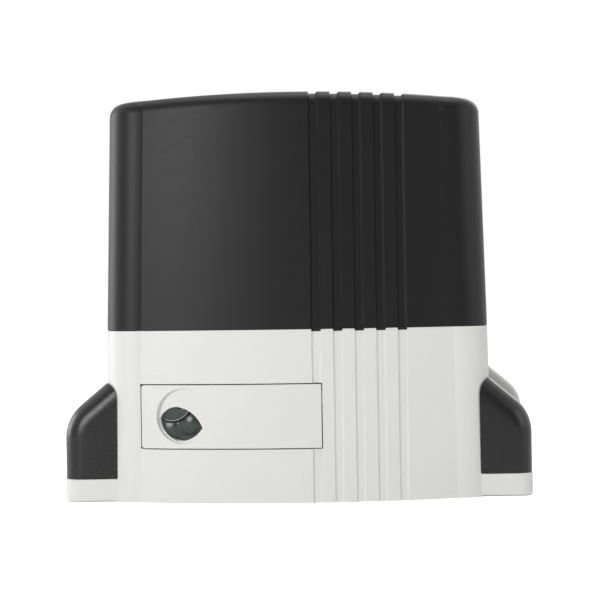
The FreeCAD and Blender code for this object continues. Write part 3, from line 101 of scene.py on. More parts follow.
def add_lights():
    middle = (0, 0, 0.14)
    area_light("key_light", (-1.3, -1.9, 0.75), middle, 1.0, 21.5)
    area_light("side_light", (-1.9, 0.8, 0.5), middle, 1.0, 11)
    area_light("fill_light", (2.1, -0.9, 0.8), middle, 1.2, 6)
    area_light("top_light", (0.1, 0.1, 1.8), middle, 1.2, 8)
    area_light("back_light", (0.6, 1.7, 1.0), middle, 1.2, 9)


def add_world():
    """White wherever the background shows or is mirrored, and dim on the camera's side."""
    world = bpy.data.worlds.new("studio")
    world.use_nodes = True
    tree = world.node_tree
    tree.nodes.clear()

    def new(kind, **values):
        item = tree.nodes.new(kind)
        for key, value in values.items():
            setattr(item, key, value)
        return item

    soft = new("ShaderNodeBackground")
    soft.inputs["Strength"].default_value = world_soft
    white = new("ShaderNodeBackground")
    white.inputs["Strength"].default_value = 1.0
    mirrored = new("ShaderNodeBackground")
    path = new("ShaderNodeLightPath")
    direction = new("ShaderNodeSeparateXYZ")
    tree.links.new(new("ShaderNodeTexCoord").outputs["Generated"], direction.inputs[0])
    fade = new("ShaderNodeMapRange", interpolation_type="SMOOTHSTEP")
    fade.inputs["From Min"].default_value = world_front_y
    fade.inputs["From Max"].default_value = world_back_y
    fade.inputs["To Min"].default_value = world_front
    fade.inputs["To Max"].default_value = 1.0
    tree.links.new(direction.outputs["Y"], fade.inputs["Value"])
    tree.links.new(fade.outputs["Result"], mirrored.inputs["Strength"])
    clear = new("ShaderNodeMath", operation="MAXIMUM")
    tree.links.new(path.outputs["Is Glossy Ray"], clear.inputs[0])
    tree.links.new(path.outputs["Is Transmission Ray"], clear.inputs[1])
    first = new("ShaderNodeMixShader")
    tree.links.new(clear.outputs[0], first.inputs[0])
    tree.links.new(soft.outputs[0], first.inputs[1])
    tree.links.new(mirrored.outputs[0], first.inputs[2])
    second = new("ShaderNodeMixShader")
    tree.links.new(path.outputs["Is Camera Ray"], second.inputs[0])
    tree.links.new(first.outputs[0], second.inputs[1])
    tree.links.new(white.outputs[0], second.inputs[2])
    out = new("ShaderNodeOutputWorld")
    tree.links.new(second.outputs[0], out.inputs["Surface"])
    for item in (soft, white, mirrored):
        item.inputs["Color"].default_value = (1, 1, 1, 1)
    scene.world = world


def add_floor():
    mesh = bpy.data.meshes.new("floor")
    signs = ((-1, -1), (1, -1), (1, 1), (-1, 1))
    corners = [(x * floor_half, y * floor_half, 0) for x, y in signs]
    mesh.from_pydata(corners, [], [(0, 1, 2, 3)])
    obj = bpy.data.objects.new("floor", mesh)
    scene.collection.objects.link(obj)
    mat = bpy.data.materials.new("floor")
    mat.use_nodes = True
    tree = mat.node_tree
    tree.nodes.clear()
    paper = tree.nodes.new("ShaderNodeBsdfDiffuse")
    paper.inputs["Color"].default_value = (floor_shade, floor_shade, floor_shade, 1)
    glow = tree.nodes.new("ShaderNodeEmission")
    glow.inputs["Strength"].default_value = floor_glow
    path = tree.nodes.new("ShaderNodeLightPath")
    dark = tree.nodes.new("ShaderNodeEmission")
    dark.inputs["Strength"].default_value = 0.0
    pick = tree.nodes.new("ShaderNodeMixShader")
    total = tree.nodes.new("ShaderNodeAddShader")
    out = tree.nodes.new("ShaderNodeOutputMaterial")
    tree.links.new(path.outputs["Is Camera Ray"], pick.inputs[0])
    tree.links.new(dark.outputs[0], pick.inputs[1])
    tree.links.new(glow.outputs[0], pick.inputs[2])
    tree.links.new(paper.outputs[0], total.inputs[0])
    tree.links.new(pick.outputs[0], total.inputs[1])
    tree.links.new(total.outputs[0], out.inputs["Surface"])
    mesh.materials.append(mat)


# ---------------------------------------------------------------- materials


class Finish:
    """One procedural material, laid out from the object's own coordinates in metres."""

    def __init__(self, name, colour, roughness, metallic=0.0, specular=0.5):
        self.material = bpy.data.materials.new(name)
        self.material.use_nodes = True
        self.tree = self.material.node_tree
        self.shader = self.tree.nodes["Principled BSDF"]
        self.shader.inputs["Metallic"].default_value = metallic
        self.shader.inputs["Specular IOR Level"].default_value = specular
        self.shader.inputs["Roughness"].default_value = roughness
        self.shader.inputs["Base Color"].default_value = (*colour, 1)
        self.colour_out = None
        self.colour = colour
        self.place = self.tree.nodes.new("ShaderNodeTexCoord").outputs["Object"]
        self.normal = None

    def node(self, kind, **values):
        item = self.tree.nodes.new(kind)
        for key, value in values.items():
            setattr(item, key, value)
        return item

    def link(self, a, b):
        self.tree.links.new(a, b)

    def noise(self, size, detail=3.0, rough=0.55, stretch=None):
        """Noise with features of about the size given, in metres."""
        item = self.node("ShaderNodeTexNoise")
        item.inputs["Scale"].default_value = 1.0 / size
        item.inputs["Detail"].default_value = detail
        item.inputs["Roughness"].default_value = rough
        source = self.place
        if stretch:
            mapping = self.node("ShaderNodeMapping")
            mapping.inputs["Scale"].default_value = stretch
            self.link(source, mapping.inputs["Vector"])
            source = mapping.outputs[0]
        self.link(source, item.inputs["Vector"])
        return item.outputs["Fac"]

    def spread(self, value, low, high, start=0.3, end=0.7):
        """Maps a texture's middle range to a range of values."""
        item = self.node("ShaderNodeMapRange")
        item.inputs["From Min"].default_value = start
        item.inputs["From Max"].default_value = end
        item.inputs["To Min"].default_value = low
        item.inputs["To Max"].default_value = high
        self.link(value, item.inputs["Value"])
        return item.outputs["Result"]

    def tint(self, factor, colour):
        """Mixes another colour in where the factor is 1."""
        item = self.node("ShaderNodeMix", data_type="RGBA", blend_type="MIX")
        self.link(factor, item.inputs["Factor"])
        if self.colour_out is None:
            item.inputs["A"].default_value = (*self.colour, 1)
        else:
            self.link(self.colour_out, item.inputs["A"])
        item.inputs["B"].default_value = (*colour, 1)
        self.colour_out = item.outputs["Result"]
        self.link(self.colour_out, self.shader.inputs["Base Color"])

    def rough(self, factor, low, high):
        self.link(self.spread(factor, low, high), self.shader.inputs["Roughness"])

    def bump(self, height, depth):
        item = self.node("ShaderNodeBump")
        item.inputs["Strength"].default_value = 1.0
        item.inputs["Distance"].default_value = depth
        self.link(height, item.inputs["Height"])
        if self.normal:
            self.link(self.normal, item.inputs["Normal"])
        self.normal = item.outputs["Normal"]
        self.link(self.normal, self.shader.inputs["Normal"])

    def axis(self, index):
        item = self.node("ShaderNodeSeparateXYZ")
        self.link(self.place, item.inputs[0])
        return item.outputs[index]

    def stripes(self, coordinate, pitch, sharp=0.5):
        """A saw of lines across one coordinate, from 0 to 1, with the pitch in metres."""
        scaled = self.node("ShaderNodeMath", operation="MULTIPLY")
        self.link(coordinate, scaled.inputs[0])
        scaled.inputs[1].default_value = math.tau / pitch
        wave = self.node("ShaderNodeMath", operation="SINE")
        self.link(scaled.outputs[0], wave.inputs[0])
        return self.spread(wave.outputs[0], 0, 1, -sharp, sharp)


def moulded(name, colour, roughness=0.5, grain=0.0007, depth=0.00004, shade=0.85, specular=0.5):
    """Spark-textured moulding with a little unevenness in colour and gloss."""
    f = Finish(name, colour, roughness, specular=specular)
    f.tint(f.spread(f.noise(0.09, 3), 0.0, 0.3), tuple(c * shade for c in colour))
    f.tint(f.spread(f.noise(0.0015, 2), 0.0, 0.25), tuple(min(1, c * 1.25) for c in colour))
    f.rough(f.noise(0.003, 4), roughness - 0.03, roughness + 0.03)
    f.bump(f.noise(grain, 4, 0.65), depth)
    return f.material


def painted(name, colour, roughness=0.42):
    """Powder coat over a casting: a fine orange peel and slight soiling."""
    f = Finish(name, colour, roughness)
    f.tint(f.spread(f.noise(0.08, 5), 0.0, 0.35), tuple(c * 0.93 for c in colour))
    f.tint(f.spread(f.noise(0.002, 3), 0.0, 0.15), (0.93, 0.93, 0.91))
    f.rough(f.noise(0.01, 4), roughness - 0.05, roughness + 0.08)
    f.bump(f.noise(0.0016, 3, 0.5), 0.00006)
    f.bump(f.noise(0.0004, 2, 0.5), 0.00001)
    return f.material


def glossy_moulding(name, colour, roughness=0.16):
    f = Finish(name, colour, roughness, specular=0.6)
    f.tint(f.spread(f.noise(0.01, 4), 0.0, 0.4), tuple(c * 0.75 for c in colour))
    f.rough(f.noise(0.004, 5), roughness - 0.04, roughness + 0.1)
    f.bump(f.noise(0.006, 2), 0.00006)
    return f.material


def metal(name, colour, roughness=0.3, stretch=(1, 1, 1), line=0.0008):
    """Machined or plated steel with fine tool lines and faint stains."""
    f = Finish(name, colour, roughness, metallic=1.0)
    f.tint(f.spread(f.noise(0.006, 5), 0.0, 0.4), tuple(c * 0.72 for c in colour))
    lines = f.noise(line, 4, 0.6, stretch)
    f.rough(lines, roughness - 0.08, roughness + 0.14)
    f.bump(lines, 0.00003)
    return f.material


def cast(name, colour, roughness=0.5):
    f = Finish(name, colour, roughness, metallic=0.85)
    f.tint(f.spread(f.noise(0.02, 5), 0.0, 0.5), tuple(c * 0.78 for c in colour))
    f.tint(f.spread(f.noise(0.0012, 4), 0.0, 0.35), tuple(c * 0.85 for c in colour))
    f.rough(f.noise(0.002, 5), roughness - 0.08, roughness + 0.15)
    f.bump(f.noise(0.0012, 5, 0.65), 0.00016)
    return f.material


def laminated(name, colour):
    """A stack of sheets with fine dark joints up its height."""
    f = Finish(name, colour, 0.4, metallic=0.7)
    sheet = f.stripes(f.axis(2), 0.0007)
    f.tint(sheet, tuple(c * 0.55 for c in colour))
    f.tint(f.spread(f.noise(0.01, 4), 0.0, 0.4), (0.10, 0.06, 0.04))
    f.rough(f.noise(0.003, 4), 0.32, 0.5)
    f.bump(sheet, 0.00008)
    return f.material


def wound(name, colour):
    """Enamelled wire laid turn by turn."""
    f = Finish(name, colour, 0.3, metallic=0.6)
    turns = f.stripes(f.axis(2), 0.0009, 1.0)
    f.tint(turns, tuple(c * 0.45 for c in colour))
    f.tint(f.spread(f.noise(0.004, 3), 0.0, 0.5), (0.45, 0.16, 0.05))
    f.rough(f.noise(0.002, 3), 0.22, 0.4)
    f.bump(turns, 0.0003)
    return f.material


def rubber(name, colour):
    f = Finish(name, colour, 0.75, specular=0.3)
    f.tint(f.spread(f.noise(0.01, 5), 0.0, 0.6), tuple(c * 1.7 for c in colour))
    f.rough(f.noise(0.004, 4), 0.66, 0.85)
    f.bump(f.noise(0.0006, 4), 0.00005)
    return f.material


def circuit(name, colour):
    """Solder mask with tracks and pads showing through it."""
    f = Finish(name, colour, 0.3)
    brick = f.node("ShaderNodeTexBrick", offset=0.37)
    brick.inputs["Scale"].default_value = 1.0
    brick.inputs["Brick Width"].default_value = 0.011
    brick.inputs["Row Height"].default_value = 0.0021
    brick.inputs["Mortar Size"].default_value = 0.00028
    flat = f.node("ShaderNodeMapping")
    flat.inputs["Rotation"].default_value = (math.radians(90), 0, 0)
    f.link(f.place, flat.inputs["Vector"])
    f.link(flat.outputs[0], brick.inputs["Vector"])
    f.tint(brick.outputs["Fac"], tuple(min(1, c * 2.6 + 0.02) for c in colour))
    f.tint(f.spread(f.noise(0.02, 3), 0.0, 0.4), tuple(c * 0.6 for c in colour))
    f.rough(f.noise(0.003, 4), 0.22, 0.36)
    f.bump(brick.outputs["Fac"], 0.00003)
    return f.material


def make_materials():
    return {
        "dark_plastic": moulded("dark_plastic", (0.0135, 0.013, 0.0127), 0.42, specular=0.34),
        "cap_plastic": moulded("cap_plastic", (0.02, 0.0197, 0.0192), 0.27, specular=0.5),
        "pale_paint": painted("pale_paint", (0.85, 0.85, 0.82)),
        "door_plastic": painted("door_plastic", (0.85, 0.85, 0.82), 0.38),
        "lock_plastic": glossy_moulding("lock_plastic", (0.05, 0.068, 0.064), 0.2),
        # near-black painted shadow for the band below the lock flap's edge
        "lock_painted_shadow": moulded("lock_painted_shadow", (0.004, 0.0045, 0.0045), 0.6),
        # pale painted highlight along the lock flap's lip
        "lock_lip_painted_highlight": moulded("lock_lip_painted_highlight", (0.34, 0.35, 0.34), 0.35),
        "steel": metal("steel", (0.52, 0.52, 0.53), 0.28, (1, 0.06, 1)),
        "zinc": metal("zinc", (0.62, 0.62, 0.60), 0.36),
        "cast_alloy": cast("cast_alloy", (0.52, 0.52, 0.51)),
        "bronze": metal("bronze", (0.56, 0.36, 0.16), 0.3),
        "rubber": rubber("rubber", (0.022, 0.022, 0.022)),
        "copper": wound("copper", (0.62, 0.26, 0.11)),
        "lamination": laminated("lamination", (0.22, 0.22, 0.235)),
        "motor_black": painted("motor_black", (0.028, 0.028, 0.032), 0.35),
        "board_green": circuit("board_green", (0.012, 0.11, 0.05)),
        "board_black": moulded("board_black", (0.02, 0.02, 0.022), 0.42),
        "board_orange": moulded("board_orange", (0.62, 0.16, 0.03), 0.4),
        "brass": metal("brass", (0.66, 0.47, 0.2), 0.26),
        "graphite": rubber("graphite", (0.03, 0.03, 0.032)),
        "ferrite": cast("ferrite", (0.06, 0.06, 0.065), 0.6),
    }


def finish_nodes(materials):
    for part in record["subparts"]:
        mesh = nodes[part["node"]].data
        finish = materials[part["material_slot"]]
        if mesh.materials:
            for index in range(len(mesh.materials)):
                mesh.materials[index] = finish
        else:
            mesh.materials.append(finish)


# ---------------------------------------------------------------- shapes

# Sizes in millimetres, the same as the model's
groove_first_x = 12.6
groove_pitch = 15.0
groove_count = 5
groove_half = 2.1
groove_left_run = 0.6  # how far each groove's upright wall leans out at the skin
groove_right_run = 1.8
groove_depth = 1.5
split_z = 120.0
panel_radius = 364.6
door_plate_end = 16.2
door_plate_low = 38.0
door_plate_high = 82.0
body_half_width = 136.3
column_radius = 24.5
column_front_y = -46.6
door_left_edge = -109.8  # the door's opening in the housing
door_low_edge = 37.7
door_high_edge = 82.3
door_right_edge = 15.3
door_end_shift = 1.6
door_end_undercut = 1.8
door_corner = 2.0
door_line = 0.5  # added to the gap round the door
door_reach = 0.1  # how near to the opening's edges a point counts as on them
door_line_right = 16.5  # the widened line ends here
door_opening_back_y = -30.0
door_end_back_y = -55.0
door_undercut_start_y = -63.0
door_undercut_end_y = -60.4
door_plate_start = 6.0
door_plate_rise = 0.02  # of the plate over the door's face
door_plate_wall = 2.2  # at its start, thinning to the next value
door_plate_wall_end = 1.2
door_groove_floor = (-62.6, -61.4)  # depths between which the door's groove floor lies
foot_half_width = 165.0
foot_front_y = -38.0
foot_forward = 3.5
foot_base_top = 16.0
hump_low = 45.0  # the left foot's hump above this height comes down as one
hump_drop = 10.0
hump_inner_x = -126.0  # the hump lies outside this
hump_span_y = (33.5, 97.0)
hump_top = 112.0  # above this nothing moves
foot_move_back_y = -26.5  # in front of this the foot's base moves
foot_inner_x = 120.0
foot_body_reach = 0.8  # past the body's half width a point belongs to the foot alone
cap_low = 16.4
cap_rear_y = 33.6
cap_shoulder_z = 44.5
cap_arc_radius = 30.0
cap_slope_deg = 50.0
cap_front_radius = 14.0
cap_wall = 2.5
cap_slope_end = 118.0  # the slope runs in to here, inside the body
cap_front_end = 104.0
cap_clearance = 0.4
cutter_back_y = 130.0
cutter_low = -10.0
cutter_height = 150.0
lock_disc_radius = 17.9
lock_joint_depth = 3.0  # from the joint's point out to the scoop's floor
lock_offset = 9.5
aperture_deg = 105.0
aperture_radius = 5.0
bulges = ((-13.9, -9.4, 20.0), (1.9, -5.1, 14.0))  # centre and radius of each
bulge_blend = 2.0
bulge_level = -1.8  # of a bulge's top, from the scoop's floor
bulge_low = -4.7  # the lowest the face goes
lock_back = -4.9
flap_back = -4.6
flap_steps = ((0, -1.95), (0.08, -1.75), (0.25, -1.68))  # inset and height of the flap's edge
flap_inset = 0.5  # of the flap from the disc's edge
band_depth = -3.0
flap_x = -10.5
flap_y = 12.5
flap_radius = 16.0
# width of the band that takes the painted shadow below the flap's edge
band_width = 1.8
lip_radius = 0.36
lip_depth = -1.86
lip_start_deg = -108
lip_turn_deg = 116
aperture_span = (-9, 3)  # depths that the aperture's cutter runs between


def add_piece(name, mesh, body, slot, *replaced):
    obj = bpy.data.objects.new(name, mesh)
    scene.collection.objects.link(obj)
    for index in range(len(mesh.materials)):
        mesh.materials[index] = materials[slot]
    if not mesh.materials:
        mesh.materials.append(materials[slot])
    if replaced:
        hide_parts(*replaced)
    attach(obj, body)
    return obj


def evaluated(obj):
    """The object's mesh with its modifiers applied; the object goes."""
    graph = bpy.context.evaluated_depsgraph_get()
    mesh = bpy.data.meshes.new_from_object(obj.evaluated_get(graph), depsgraph=graph)
    bpy.data.objects.remove(obj)
    return mesh


def loose_object(name, mesh):
    obj = bpy.data.objects.new(name, mesh)
    scene.collection.objects.link(obj)
    return obj


def smooth(mesh, degrees=30):
    mesh.shade_smooth()
    mesh.set_sharp_from_angle(angle=math.radians(degrees))


def finished(shape, name):
    """The bmesh as a mesh; the bmesh goes."""
    mesh = bpy.data.meshes.new(name)
    shape.to_mesh(mesh)
    shape.free()
    return mesh


def spot(co):
    """A key for points that coincide."""
    return tuple(round(value * 2e5) for value in co)


def groove_slides(mesh):
    """Where the grooves' upper edges go, kept in the skin, so that their walls slope."""
    slides = {}
    for face in mesh.polygons:
        normal = face.normal
        rim = abs(normal.z) > 0.9 and abs(face.center.z - split_z * MM) < 0.002
        if abs(normal.x) > 0.9 or normal.z < -0.9 or rim:
            continue
        for index in range(groove_count):
            middle = (groove_first_x + index * groove_pitch) * MM
            for side, run in ((-1, groove_left_run), (1, groove_right_run)):
                edge = middle + side * groove_half * MM
                if (face.center.x - edge) * side <= 0:
                    continue
                for vertex in face.vertices:
                    co = mesh.vertices[vertex].co
                    if abs(co.x - edge) < 2e-5:
                        step = side * run * MM
                        across = Vector((0, normal.y, normal.z))
                        rise = step * normal.x / across.length_squared
                        slides[spot(co)] = Vector((step, 0, 0)) - across * rise
    return slides


def slope_grooves(mesh):
    slides = groove_slides(mesh)
    normals = [corner.vector.copy() for corner in mesh.corner_normals]
    uprights = [face.index for face in mesh.polygons if abs(face.normal.x) > 0.9]
    touched = set()
    for vertex in mesh.vertices:
        slide = slides.get(spot(vertex.co))
        if slide:
            vertex.co += slide
            touched.add(vertex.index)
    walls = [index for index in uprights if touched.intersection(mesh.polygons[index].vertices)]
    mesh.update()
    for index in walls:
        face = mesh.polygons[index]
        for corner in face.loop_indices:
            normals[corner] = face.normal.copy()
    mesh.normals_split_custom_set(normals)


def between(low, high, part):
    return low + (high - low) * part


def share(value, start, end):
    return min(1.0, max(0.0, (value - start) / (end - start)))


def open_door_line(x, y, z):
    """A little more room round the door, at the left, below and above."""
    across = door_left_edge - door_reach < x < door_line_right
    upright = door_low_edge - door_reach < z < door_high_edge + door_reach
    if y > door_opening_back_y or not (across and upright):
        return x, y, z
    left = share(x, door_left_edge + door_corner, door_left_edge)
    low = share(z, door_low_edge + door_corner, door_low_edge)
    high = share(z, door_high_edge - door_corner, door_high_edge)
    return x - door_line * left, y, z + door_line * (high - low)


def move_door_end(x, y, z):
    """The opening's right end, moved out to the door's plate and undercut for its swing."""
    on_edge = abs(x - door_right_edge) < door_reach and door_low_edge - 1 < z < door_high_edge + 1
    if on_edge and y < door_end_back_y:
        back = share(y, door_undercut_start_y, door_undercut_end_y)
        return door_right_edge + door_end_shift + door_end_undercut * back, y, z
    return x, y, z


def lower_left_hump(x, y, z):
    behind_cap = hump_span_y[0] < y < hump_span_y[1]
    if x < hump_inner_x and behind_cap and foot_base_top + 0.2 < z < hump_top:
        z -= hump_drop * share(z, foot_base_top, hump_low)
    return x, y, z


def column_x(y):
    """Half width of the body where its round column passes a depth."""
    rise = y - (column_front_y + column_radius)
    return body_half_width - column_radius + math.sqrt(column_radius**2 - rise**2)


def bring_foot_forward(x, y, z):
    if z > foot_base_top + 0.3 or y > foot_move_back_y:
        return x, y, z
    if abs(x) > body_half_width + foot_body_reach:
        return x, y - foot_forward, z
    if abs(y - foot_front_y) < 0.1 and abs(x) > foot_inner_x:
        front = foot_front_y - foot_forward
        return math.copysign(column_x(front), x), front, z
    return x, y, z


def housing_skin():
    mesh = nodes["lower_housing"].data.copy()
    slope_grooves(mesh)
    normals = [corner.vector.copy() for corner in mesh.corner_normals]
    for vertex in mesh.vertices:
        place = tuple(vertex.co / MM)
        for change in (open_door_line, move_door_end, lower_left_hump, bring_foot_forward):
            place = change(*place)
        vertex.co = Vector(place) * MM
    mesh.update()
    mesh.normals_split_custom_set(normals)
    add_piece("housing_skin", mesh, "base", "pale_paint", "lower_housing")


def front_y(x):
    """Front of the bulged panel at the floor; higher up the real front leans back a little."""
    return front_most_y() + x * x / (2 * panel_radius)


def front_most_y():
    return min(corner.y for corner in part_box("lower_housing")) / MM


def door_skin():
    """The door with its first groove filled, and the plate over the door's hinge end."""
    mesh = nodes["release_door"].data.copy()
    normals = [corner.vector.copy() for corner in mesh.corner_normals]
    edges = (groove_first_x - groove_half, groove_first_x + groove_half)
    for vertex in mesh.vertices:
        x, y, _ = vertex.co / MM
        near_edge = min(abs(x - edge) for edge in edges) < 0.05
        if door_groove_floor[0] < y < door_groove_floor[1] and near_edge:
            vertex.co.y -= groove_depth * MM
    mesh.update()
    mesh.normals_split_custom_set(normals)
    add_piece("door_skin", mesh, "release_door", "door_plastic", "release_door")
    plate = bmesh.new()
    rows = []
    for step in range(9):
        x = between(door_plate_start, door_plate_end, step / 8)
        front = front_y(x) - door_plate_rise
        back = front + between(door_plate_wall, door_plate_wall_end, step / 8)
        rows.append([plate.verts.new(Vector(place) * MM) for place in
                     ((x, front, door_plate_low), (x, front, door_plate_high),
                      (x, back, door_plate_high), (x, back, door_plate_low))])
    for low, high in zip(rows, rows[1:]):
        bridge(plate, low, high)
    plate.faces.new(rows[0])
    plate.faces.new(rows[-1])
    bmesh.ops.recalc_face_normals(plate, faces=plate.faces)
    mesh = finished(plate, "door_plate")
    smooth(mesh)
    add_piece("door_end_plate", mesh, "release_door", "door_plastic")


def cover_skin():
    mesh = nodes["upper_cover"].data.copy()
    slope_grooves(mesh)
    add_piece("cover_skin", mesh, "upper_cover", "dark_plastic", "upper_cover")


def cap_profile():
    """The right cap's side, arc and slope from below, each point with its outward normal."""
    centre_x = foot_half_width - cap_arc_radius
    points = [((foot_half_width, z), (1.0, 0.0)) for z in (cap_low, 26.0, 35.0, cap_shoulder_z)]
    steps = 12
    for step in range(1, steps + 1):
        angle = math.radians(cap_slope_deg) * step / steps
        normal = (math.cos(angle), math.sin(angle))
        high = (centre_x + cap_arc_radius * normal[0], cap_shoulder_z + cap_arc_radius * normal[1])
        points.append((high, normal))
    run = (high[0] - cap_slope_end) / normal[1]
    for part in (0.25, 0.5, 0.75, 1.0):
        along = run * part
        points.append(((high[0] - normal[1] * along, high[1] + normal[0] * along), normal))
    return points


def cap_mesh(side):
    """Surface of a foot's cap with a broad rounding at its front, running on into the body; foot_caps gives it its
    wall and cuts it to the body's column.
    """
    shape = bmesh.new()
    rows = []
    front = foot_front_y - foot_forward
    turns = 8
    for (x, z), (nx, nz) in cap_profile():
        row = [(x, cap_rear_y, z), (x, 10.0, z), (x, -10.0, z)]
        for step in range(turns + 1):
            angle = math.radians(90) * step / turns
            inward = cap_front_radius * (1 - math.cos(angle))
            forward = cap_front_radius * (1 - math.sin(angle))
            row.append((x - nx * inward, front + forward, z - nz * inward))
        end_x, _, end_z = row[-1]
        for part in (0.33, 0.66, 1.0):
            row.append((between(end_x, cap_front_end, part), front, end_z))
        rows.append([shape.verts.new((side * a * MM, b * MM, c * MM)) for a, b, c in row])
    for low, high in zip(rows, rows[1:]):
        for a, b, c, d in zip(low, low[1:], high[1:], high):
            shape.faces.new((a, b, c, d) if side < 0 else (d, c, b, a))
    bmesh.ops.recalc_face_normals(shape, faces=shape.faces)
    outward = sum((face.normal.x * side * face.calc_area() for face in shape.faces), 0.0)
    if outward < 0:
        bmesh.ops.reverse_faces(shape, faces=shape.faces)
    return finished(shape, "cap")


def body_cutter(clearance):
    """The body's outline as an upright block, its front columns rounded."""
    shape = bmesh.new()
    half = body_half_width + clearance
    radius = column_radius + clearance
    corner_x = half - radius
    corner_y = column_front_y - clearance + radius
    outline = [(half, cutter_back_y), (-half, cutter_back_y)]
    steps = 24
    for step in range(steps + 1):
        angle = math.radians(180 + 90 * step / steps)
        outline.append((-corner_x + radius * math.cos(angle), corner_y + radius * math.sin(angle)))
    for step in range(steps + 1):
        angle = math.radians(270 + 90 * step / steps)
        outline.append((corner_x + radius * math.cos(angle), corner_y + radius * math.sin(angle)))
    base = shape.faces.new([shape.verts.new((x * MM, y * MM, cutter_low * MM)) for x, y in outline])
    top = bmesh.ops.extrude_face_region(shape, geom=[base])["geom"]
    raised = [item for item in top if isinstance(item, bmesh.types.BMVert)]
    bmesh.ops.translate(shape, vec=(0, 0, cutter_height * MM), verts=raised)
    bmesh.ops.recalc_face_normals(shape, faces=shape.faces)
    return finished(shape, "cutter")


def foot_caps():
    for side, name in ((-1, "left"), (1, "right")):
        cap = loose_object("cap", cap_mesh(side))
        cutter = loose_object("cutter", body_cutter(cap_clearance))
        wall = cap.modifiers.new("wall", "SOLIDIFY")
        wall.thickness = cap_wall * MM
        wall.offset = -1
        cut = cap.modifiers.new("cut", "BOOLEAN")
        cut.operation = "DIFFERENCE"
        cut.solver = "EXACT"
        cut.object = cutter
        mesh = evaluated(cap)
        bpy.data.objects.remove(cutter)
        smooth(mesh)
        node = name + "_foot_cover"
        mesh.materials.append(materials["cap_plastic"])
        add_piece(name + "_cap_skin", mesh, node, "dark_plastic", node)
        mesh.materials[0] = materials["cap_plastic"]


def lock_place():
    """Frame in the middle of the scoop's floor, its Z out of the door."""
    joint = next(item for item in frame["joints"] if item["name"] == "lock_cover_turn")
    normal = Vector(joint["axis"]).normalized()
    upright = Vector((0, 0, 1))
    turn = Matrix((upright.cross(normal), upright, normal)).transposed().to_4x4()
    return Matrix.Translation(Vector(joint["pos_m"]) + normal * lock_joint_depth * MM) @ turn


def bulge_height(x, y):
    """Face of the lock's cover: two steep bulges that run together, low in the window."""
    swell = 0.0
    for centre_x, centre_y, radius in bulges:
        drop = ((x - centre_x) ** 2 + (y - centre_y) ** 2) / (2 * radius)
        swell += math.exp(-bulge_blend * drop)
    return max(bulge_level + math.log(max(swell, 1e-9)) / bulge_blend, bulge_low)


def ring_of(shape, place, points):
    return [shape.verts.new(place @ (Vector(point) * MM)) for point in points]


def bridge(shape, low, high, index=0):
    count = len(low)
    for i in range(count):
        j = (i + 1) % count
        shape.faces.new((low[i], low[j], high[j], high[i])).material_index = index


def circle(radius, count, centre=(0, 0), start=0.0, turn=360.0):
    whole = turn == 360.0
    for step in range(count if whole else count + 1):
        angle = math.radians(start + turn * step / count)
        yield centre[0] + radius * math.cos(angle), centre[1] + radius * math.sin(angle)


def bulge_mesh(place):
    shape = bmesh.new()
    count = 120
    rings = 26
    rows = [ring_of(shape, place, [(x, y, lock_back) for x, y in circle(lock_disc_radius, count)])]
    for step in range(rings):
        radius = lock_disc_radius * (1 - step / rings)
        points = [(x, y, bulge_height(x, y)) for x, y in circle(radius, count)]
        rows.append(ring_of(shape, place, points))
    for low, high in zip(rows, rows[1:]):
        bridge(shape, low, high)
    shape.faces.new(rows[-1])
    shape.faces.new(list(reversed(rows[0])))
    # Faces in a band along the flap's lower edge take material 1, a near-black painted shadow.
    centre = place @ Vector((flap_x * MM, flap_y * MM, band_depth * MM))
    for face in shape.faces:
        reach = (face.calc_center_median() - centre).length / MM
        if flap_radius - 1 < reach < flap_radius + band_width:
            face.material_index = 1
    return finished(shape, "bulge")


def flap_outline(inset):
    """The disc's edge and the flap's own round edge, inside each other."""
    disc = lock_disc_radius - flap_inset - inset
    radius = flap_radius - inset
    reach = math.hypot(flap_x, flap_y)
    toward = math.degrees(math.atan2(flap_y, flap_x))
    on_disc = math.degrees(math.acos((disc**2 + reach**2 - radius**2) / (2 * disc * reach)))
    on_flap = math.degrees(math.acos((radius**2 + reach**2 - disc**2) / (2 * radius * reach)))
    points = list(circle(disc, 40, (0, 0), toward - on_disc, 2 * on_disc))
    edge = list(circle(radius, 40, (flap_x, flap_y), toward + 180 - on_flap, 2 * on_flap))
    return points + edge[1:-1]


def flap_mesh(place):
    shape = bmesh.new()
    rows = []
    for inset, height in ((0, flap_back), *flap_steps):
        rows.append(ring_of(shape, place, [(x, y, height) for x, y in flap_outline(inset)]))
    for low, high in zip(rows, rows[1:]):
        bridge(shape, low, high)
    shape.faces.new(rows[-1])
    shape.faces.new(list(reversed(rows[0])))
    return finished(shape, "flap")


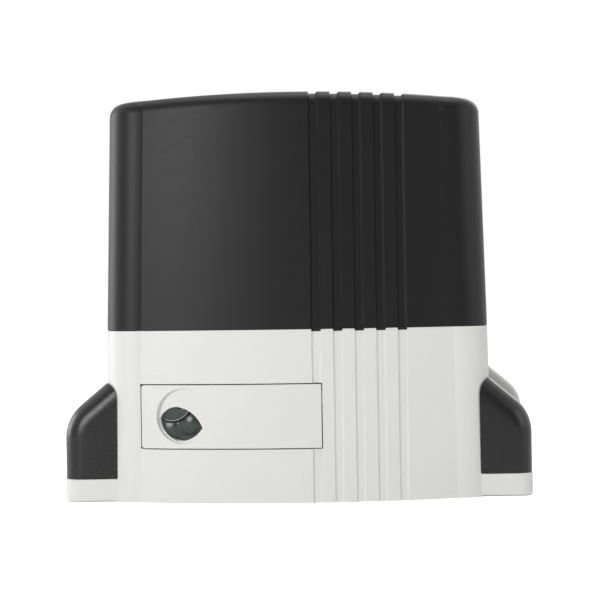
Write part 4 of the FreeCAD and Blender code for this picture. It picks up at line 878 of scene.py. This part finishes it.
def lip_mesh(place):
    """Rounded lip along the flap's lower edge, coloured pale as a painted highlight."""
    shape = bmesh.new()
    rows = []
    for x, y in circle(flap_radius, 48, (flap_x, flap_y), lip_start_deg, lip_turn_deg):
        away = Vector((x - flap_x, y - flap_y, 0)).normalized()
        section = []
        for step in range(10):
            angle = math.tau * step / 10
            out = lip_radius * math.cos(angle)
            height = lip_depth + lip_radius * math.sin(angle)
            section.append((x + away.x * out, y + away.y * out, height))
        rows.append(ring_of(shape, place, section))
    for low, high in zip(rows, rows[1:]):
        bridge(shape, low, high, 2)
    for end in (rows[0], rows[-1]):
        shape.faces.new(end).material_index = 2
    bmesh.ops.recalc_face_normals(shape, faces=shape.faces)
    return finished(shape, "lip")


def rod_mesh(place, x, y, radius, low, high):
    shape = bmesh.new()
    ring = list(circle(radius, 64, (x, y)))
    rows = [ring_of(shape, place, [(a, b, z) for a, b in ring]) for z in (low, high)]
    bridge(shape, rows[0], rows[1])
    shape.faces.new(rows[1])
    shape.faces.new(list(reversed(rows[0])))
    bmesh.ops.recalc_face_normals(shape, faces=shape.faces)
    return finished(shape, "rod")


def cut_through(mesh, tool):
    body = loose_object("body", mesh)
    cutter = loose_object("cutter", tool)
    cut = body.modifiers.new("cut", "BOOLEAN")
    cut.operation = "DIFFERENCE"
    cut.solver = "EXACT"
    cut.object = cutter
    result = evaluated(body)
    bpy.data.objects.remove(cutter)
    return result


def lock_face():
    place = lock_place()
    angle = math.radians(aperture_deg)
    hole = (lock_offset * math.cos(angle), lock_offset * math.sin(angle))
    whole = bmesh.new()
    for mesh in (bulge_mesh(place), flap_mesh(place)):
        tool = rod_mesh(place, *hole, aperture_radius, *aperture_span)
        whole.from_mesh(cut_through(mesh, tool))
    whole.from_mesh(lip_mesh(place))
    mesh = finished(whole, "lock_face")
    smooth(mesh, 35)
    add_piece("lock_face", mesh, "lock_cover", "lock_plastic", "lock_cover")
    mesh.materials.append(materials["lock_painted_shadow"])
    mesh.materials.append(materials["lock_lip_painted_highlight"])


# ---------------------------------------------------------------- the scene

scene.view_settings.view_transform = "Standard"
add_camera()
add_world()
add_lights()
add_floor()
materials = make_materials()
finish_nodes(materials)
housing_skin()
door_skin()
cover_skin()
foot_caps()
lock_face()
